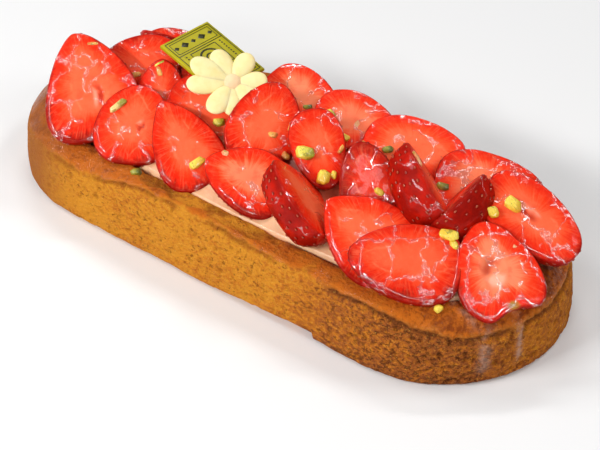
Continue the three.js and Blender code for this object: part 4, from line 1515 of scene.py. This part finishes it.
@dataclass
class Nibs:
    """The pistachio nibs."""

    def nibs(self) -> list[Nib]:
        """List the nibs.

        Returns:
            The nibs.
        """
        t = Tone
        table = [
            ("front_1", (15.5, -6), (5, 1.6, 1.4), 80, t.AMBER),
            ("front_2", (6.5, 6.8), (7.6, 2.8, 2.4), -44, t.CREAM),
            ("front_3", (-9.4, -1), (6.6, 3.3, 2.6), -84, t.YELLOW),
            ("middle_3", (3.7, 1.4), (4.6, 3.4, 2.6), 59, t.LIME),
            ("middle_2", (9, 0.8), (4.4, 2.2, 1.5), 19, t.AMBER),
            ("middle_1", (0.7, 5.2), (4.6, 2.4, 2), 19, t.AMBER),
            ("middle_2", (11.9, 0.8), (4.6, 1.4, 1.2), -63, t.LIME),
            ("front_4", (11.6, -5), (2.8, 2.2, 1.4), -1, t.PEACH),
            ("middle_4", (-3, -4), (3.6, 2.5, 1.6), -78, t.AMBER),
            ("middle_4", (2.3, -8.4), (4.5, 1.5, 1.4), 6, t.AMBER),
            ("middle_4", (-8.5, -11), (3.6, 2.6, 2), 66, t.AMBER),
            ("middle_5", (0.8, -5.2), (7, 5.2, 3.6), 74, t.LIME),
            ("back_3", (5, -2.1), (3.6, 2.4, 1.8), 40, t.GREEN),
            ("back_4", (-8.5, 0.7), (4.6, 2.4, 2), -26, t.LIME),
            ("back_4", (-1, -8.1), (4.9, 3.3, 2.4), -7, t.YELLOW),
            ("back_5", (-16.6, -1.5), (3, 1.3, 1.2), -19, t.AMBER),
            ("middle_5", (1.9, 7.3), (3.8, 1.7, 1.4), -42, t.AMBER),
            ("back_5", (-14, -3.5), (3.8, 1.9, 1.6), -3, t.AMBER),
            ("back_5", (-8.3, -2.3), (4.3, 3, 2.2), 26, t.GREEN),
            ("back_4", (1.9, -1.1), (3.8, 3, 1.2), 51, t.PEACH),
            ("middle_5", (10.6, -1), (5.6, 4.8, 3.6), -32, t.YELLOW),
            ("middle_5", (10.3, 2.8), (3.2, 2.4, 1.8), -32, t.YELLOW),
            ("middle_6", (-4, -3), (4, 2.6, 2), 47, t.YELLOW),
            ("middle_7", (9, 4.8), (6.5, 2.2, 2), -12, t.PEACH),
            ("back_6", (-15.2, -4.1), (4.7, 3, 2.2), -5, t.GREEN),
            ("front_7", (-12.8, -11.2), (7, 4.2, 3.2), 0, t.YELLOW),
            ("front_7", (-15, -8.5), (4, 2.6, 2.2), -56, t.YELLOW),
            ("end", (-10.4, -8), (4.8, 4, 3), -19, t.YELLOW),
            ("end", (-7.3, -1.1), (6.8, 4.8, 3.6), 12, t.YELLOW),
            ("front_8", (5.1, -7.7), (2.3, 1.6, 1.2), -65, t.PEACH),
        ]
        nibs = [Nib(at, size, turn, tone, "strawberry_" + on) for on, at, size, turn, tone in table]
        nibs.append(Nib((-39, -37.5, 27.2), (4.4, 3.4, 2.8), 30, t.GREEN))
        nibs.append(Nib((89, -31.5, 27), (3.8, 3.4, 2.6), 70, t.YELLOW))
        return nibs

    def make(self, berries: dict[str, Strawberry]) -> None:
        """Build the nibs, one piece for each tone.

        Args:
            berries: The berries by name.
        """
        parts: dict[Tone, list[Surface]] = {tone: [] for tone in Tone}
        for number, nib in enumerate(self.nibs()):
            parts[nib.tone].append(nib.surface(40 + number, berries))
        for tone, surfaces in parts.items():
            Surface.joined(surfaces).piece("pistachio_" + tone.name.lower(), Pistachio(tone))


@dataclass
class Flower:
    """The white chocolate flower. Sizes are in millimetres."""

    at: tuple[float, float, float] = (-24.5, -0.5, 52.5)
    faces: tuple[float, float] = (38, 60)
    petal_depth: float = 3.4
    eye_width: float = 7.4
    root: float = 2.0
    steps: int = 40

    def petals(self) -> list[tuple[float, float, float]]:
        """List heading, reach and width of the petals."""
        return [
            (87, 12.5, 7.6), (30, 12.5, 7.6), (-28, 14.1, 7.8), (-63, 17, 8),
            (-94, 16.5, 8), (-150, 15, 8), (180, 13.5, 6.6), (135, 12.5, 7.4),
        ]

    def ball(self, half: tuple[float, float, float], rows: int, columns: int) -> Surface:
        """Build an ellipsoid.

        Args:
            half: Its three half sizes in millimetres.
            rows: Steps from pole to pole, along X.
            columns: Steps around.

        Returns:
            The surface in millimetres.
        """
        down = np.linspace(0.0, math.pi, rows + 1)[:, None] * 0.996 + 0.002 * math.pi
        around = np.linspace(0.0, 2.0 * math.pi, columns, endpoint=False)[None]
        x = np.cos(down) * half[0] + 0.0 * around
        y = np.sin(down) * np.cos(around) * half[1]
        z = np.sin(down) * np.sin(around) * half[2]
        points = np.stack([x, y, z], axis=2).reshape(-1, 3)
        first = np.arange(columns)[::-1][None]
        last = (rows * columns + np.arange(columns))[None]
        quads = grid_faces(rows + 1, columns, True)[:, ::-1]
        return Surface(points, [quads, first[:, ::-1], last[:, ::-1]])

    def make(self) -> None:
        """Build the petals and the eye."""
        pose = pose_of(self.faces, 0.0, self.at)
        parts = []
        for number, (heading, reach, width) in enumerate(self.petals()):
            half = (reach - self.root) / 2
            petal = self.ball((half, width / 2, self.petal_depth / 2), self.steps, 32)
            x, y, z = petal.points.T.copy()
            share = x / half
            y = y * (1.0 + 0.16 * share)
            z = z + 0.5 * share**2
            petal.points = np.stack([x + self.root + half, y, z], axis=1) * MM
            tilt = Matrix.Rotation(math.radians(-7.0 if number % 2 else -3.0), 4, "Y")
            turn = Matrix.Rotation(math.radians(-heading), 4, "Z")
            parts.append(petal.moved(pose @ turn @ tilt))
        ivory = Chocolate("ivory_chocolate", (0.95, 0.82, 0.42), (0.92, 0.74, 0.34))
        Surface.joined(parts).piece("flower_petals", ivory, "flower")
        eye = self.ball((self.petal_depth * 0.72, self.eye_width / 2, self.eye_width / 2), 24, 40)
        eye.points = eye.points[:, [1, 2, 0]] * MM
        peach = Chocolate("peach_chocolate", (0.95, 0.70, 0.42), (0.92, 0.62, 0.36))
        eye.moved(pose).piece("flower_eye", peach)


@dataclass
class Plaque:
    """The flat green chocolate plaque with its plain print. Sizes are in millimetres."""

    at: tuple[float, float, float] = (-42.7, 9.5, 50.5)
    faces: tuple[float, float] = (84, 77)
    turn: float = 180.0
    size: tuple[float, float, float] = (31.0, 23.5, 1.7)
    bevel: float = 0.35
    ink: float = 0.05

    def strip(self, start: tuple[float, float], end: tuple[float, float], width: float) -> Surface:
        """Build a straight line of ink.

        Args:
            start: One end.
            end: The other end.
            width: Width of the line.

        Returns:
            The surface in millimetres.
        """
        a, b = np.array(start), np.array(end)
        side = np.array([a[1] - b[1], b[0] - a[0]])
        side = side / np.linalg.norm(side) * width / 2
        corners = [a + side, a - side, b - side, b + side]
        return self.inked(np.array(corners))

    def inked(self, outline: np.ndarray) -> Surface:
        """Raise an outline by the thickness of the ink.

        Args:
            outline: Places in order round the shape.

        Returns:
            The surface in millimetres.
        """
        count = len(outline)
        base = self.size[2] / 2
        low = np.column_stack([outline, np.full(count, base - self.ink)])
        high = np.column_stack([outline, np.full(count, base + self.ink)])
        top = (count + np.arange(count))[None]
        under = np.arange(count)[::-1][None]
        return Surface(np.concatenate([low, high]), [grid_faces(2, count, True), top, under])

    def ring(self, at: tuple[float, float], radius: float, width: float) -> list[Surface]:
        """Build a circle of ink from short strips.

        Args:
            at: Middle of the circle.
            radius: Its radius.
            width: Width of the line.

        Returns:
            The strips.
        """
        angles = np.linspace(0.0, 2.0 * math.pi, 25)
        spots = np.array(at) + radius * np.stack([np.cos(angles), np.sin(angles)], axis=1)
        return [self.strip(tuple(a), tuple(b), width) for a, b in zip(spots[:-1], spots[1:])]

    def frame(self, middle: tuple[float, float], reach: tuple[float, float], width: float) -> list[Surface]:
        """Build a rectangle of ink.

        Args:
            middle: Middle of the rectangle.
            reach: Its half sides.
            width: Width of the line.

        Returns:
            The strips.
        """
        x, y = middle
        half, rise = reach
        corners = [(x - half, y - rise), (x + half, y - rise), (x + half, y + rise), (x - half, y + rise)]
        return [self.strip(a, b, width) for a, b in zip(corners, corners[1:] + corners[:1])]

    def motifs(self) -> list[Surface]:
        """Lay out the print: a border, two rules, rings in a frame, rows of dots and two columns of diamonds."""
        x, y, _ = self.size
        x, y = x / 2 - 1.2, y / 2 - 1.2
        corners = [(-x, -y), (x, -y), (x, y), (-x, y)]
        parts = [self.strip(a, b, 0.32) for a, b in zip(corners, corners[1:] + corners[:1])]
        parts += [self.strip((side, -y), (side, y), 0.32) for side in (-6.5, 6.5)]
        parts += self.ring((0.0, 0.0), 4.2, 0.8) + self.ring((0.0, 0.0), 2.0, 0.6)
        parts += self.frame((0.0, 0.0), (5.4, 6.0), 0.35)
        for side in (-10.4, 10.4):
            parts += self.frame((side, 0.0), (2.9, y - 1.1), 0.25)
        for level in (-8.3, 8.3):
            for step in range(9):
                parts += self.ring((1.25 * (step - 4), level), 0.22, 0.3)
        for side in (-10.4, 10.4):
            for step in range(5):
                centre = np.array([side, (step - 2) * 4.1])
                half = 1.5 if step % 2 else 0.95
                diamond = centre + half * np.array([(0, -1.2), (1, 0), (0, 1.2), (-1, 0)])
                parts.append(self.inked(diamond))
        return parts

    def make(self) -> None:
        """Build the plaque and its print."""
        pose = pose_of(self.faces, self.turn, self.at)
        noise = Noise(21)
        half = np.array(self.size) / 2
        count = 120
        side = np.linspace(-1.0, 1.0, count // 4, endpoint=False)
        flat = np.ones_like(side)
        around = np.concatenate([
            np.stack([side, -flat], axis=1), np.stack([flat, side], axis=1),
            np.stack([-side, flat], axis=1), np.stack([-flat, -side], axis=1)])
        rings = []
        for inset, height in ((3.0, -1.0), (self.bevel, -1.0), (0.08, -0.75), (0.0, -0.4), (0.0, 0.4), (0.08, 0.75), (self.bevel, 1.0), (3.0, 1.0)):
            ring = around * (half[:2] - inset)
            rings.append(np.column_stack([ring, np.full(len(ring), height * half[2])]))
        points = np.concatenate(rings)
        points[:, :2] *= 1.0 + 0.004 * noise.fractal(points, 5.0, 2)[:, None]
        total = len(around)
        skin = grid_faces(len(rings), total, True)
        under = np.arange(total)[::-1][None]
        top = ((len(rings) - 1) * total + np.arange(total))[None]
        green = Chocolate("moulded_green", (0.46, 0.40, 0.005), (0.40, 0.35, 0.005), "green_chocolate", 0.38, 0.1)
        Surface(points * MM, [skin, under, top]).moved(pose).piece("plaque_slab", green, "plaque")
        ink = Surface.joined(self.motifs())
        ink.points = ink.points * MM
        ink.moved(pose).piece("plaque_print", Print())


@dataclass
class Studio:
    """The camera, the lights and the pale floor. Lengths are in metres."""

    target: tuple[float, float, float] = (0.0198, -0.0174, 0.020)
    azimuth: float = 38.6
    elevation: float = 37.8
    distance: float = 0.700
    focal: float = 1995.0
    image_width: float = 600.0
    sensor: float = 36.0

    def camera(self) -> None:
        """Place the camera at the photograph's viewing angle."""
        data = bpy.data.cameras.new("camera")
        thing = bpy.data.objects.new("camera", data)
        bpy.context.scene.collection.objects.link(thing)
        azimuth, elevation = math.radians(self.azimuth), math.radians(self.elevation)
        flat = math.cos(elevation)
        back = Vector((math.sin(azimuth) * flat, -math.cos(azimuth) * flat, math.sin(elevation)))
        thing.location = Vector(self.target) + back * self.distance
        thing.rotation_euler = (-back).to_track_quat("-Z", "Y").to_euler()
        data.sensor_width = self.sensor
        data.lens = self.focal / self.image_width * self.sensor
        data.clip_start, data.clip_end = 0.01, 20.0
        bpy.context.scene.camera = thing

    def lamp(self, name: str, at: tuple[float, float, float], size: tuple[float, float], power: float) -> None:
        """Hang a soft box that faces the tart.

        Args:
            name: Name of the lamp.
            at: Its place.
            size: Its two sides.
            power: Its power in watts.
        """
        data = bpy.data.lights.new(name, "AREA")
        data.shape = "RECTANGLE"
        data.size, data.size_y = size
        data.energy = power
        thing = bpy.data.objects.new(name, data)
        thing.location = Vector(at)
        thing.rotation_euler = (Vector(self.target) - Vector(at)).to_track_quat("-Z", "Y").to_euler()
        bpy.context.scene.collection.objects.link(thing)

    def floor(self) -> None:
        """Lay the floor."""
        mesh = bpy.data.meshes.new("floor")
        reach = 3.0
        level = -0.0002
        mesh.from_pydata([(-reach, -reach, level), (reach, -reach, level), (reach, reach, level), (-reach, reach, level)], [], [(0, 1, 2, 3)])
        mesh.materials.append(PaleFloor().material())
        thing = bpy.data.objects.new("floor", mesh)
        bpy.context.scene.collection.objects.link(thing)

    def make(self) -> None:
        """Set up the studio."""
        self.camera()
        self.floor()
        world = bpy.data.worlds.new("studio")
        world.use_nodes = True
        sky = world.node_tree.nodes["Background"]
        sky.inputs["Color"].default_value = (1.0, 1.0, 1.0, 1.0)
        sky.inputs["Strength"].default_value = 0.14
        bpy.context.scene.world = world
        middle = Vector((0.002, -0.24, 0.97)).normalized()
        side = middle.cross(Vector((0.0, 1.0, 0.0))).normalized()
        over = side.cross(middle)
        for number in range(6):
            turn = 2.0 * math.pi * number / 6
            way = middle * math.cos(0.78) + (side * math.cos(turn) + over * math.sin(turn)) * math.sin(0.78)
            power = 7.6 if number == 5 else 2.3
            self.lamp(f"ring_{number}", tuple(Vector(self.target) + way * 1.1), (0.45, 0.10), power)
        bpy.context.scene.view_settings.view_transform = "Standard"


def main() -> None:
    """Build the tart and the studio."""
    logging.basicConfig(level=logging.INFO, format="%(message)s")
    Studio().make()
    crust = Crust()
    crust.make()
    Cream(crust).make()
    berries = Fruit().make()
    Nibs().make(berries)
    Flower().make()
    Plaque().make()


if __name__ == "__main__":
    main()
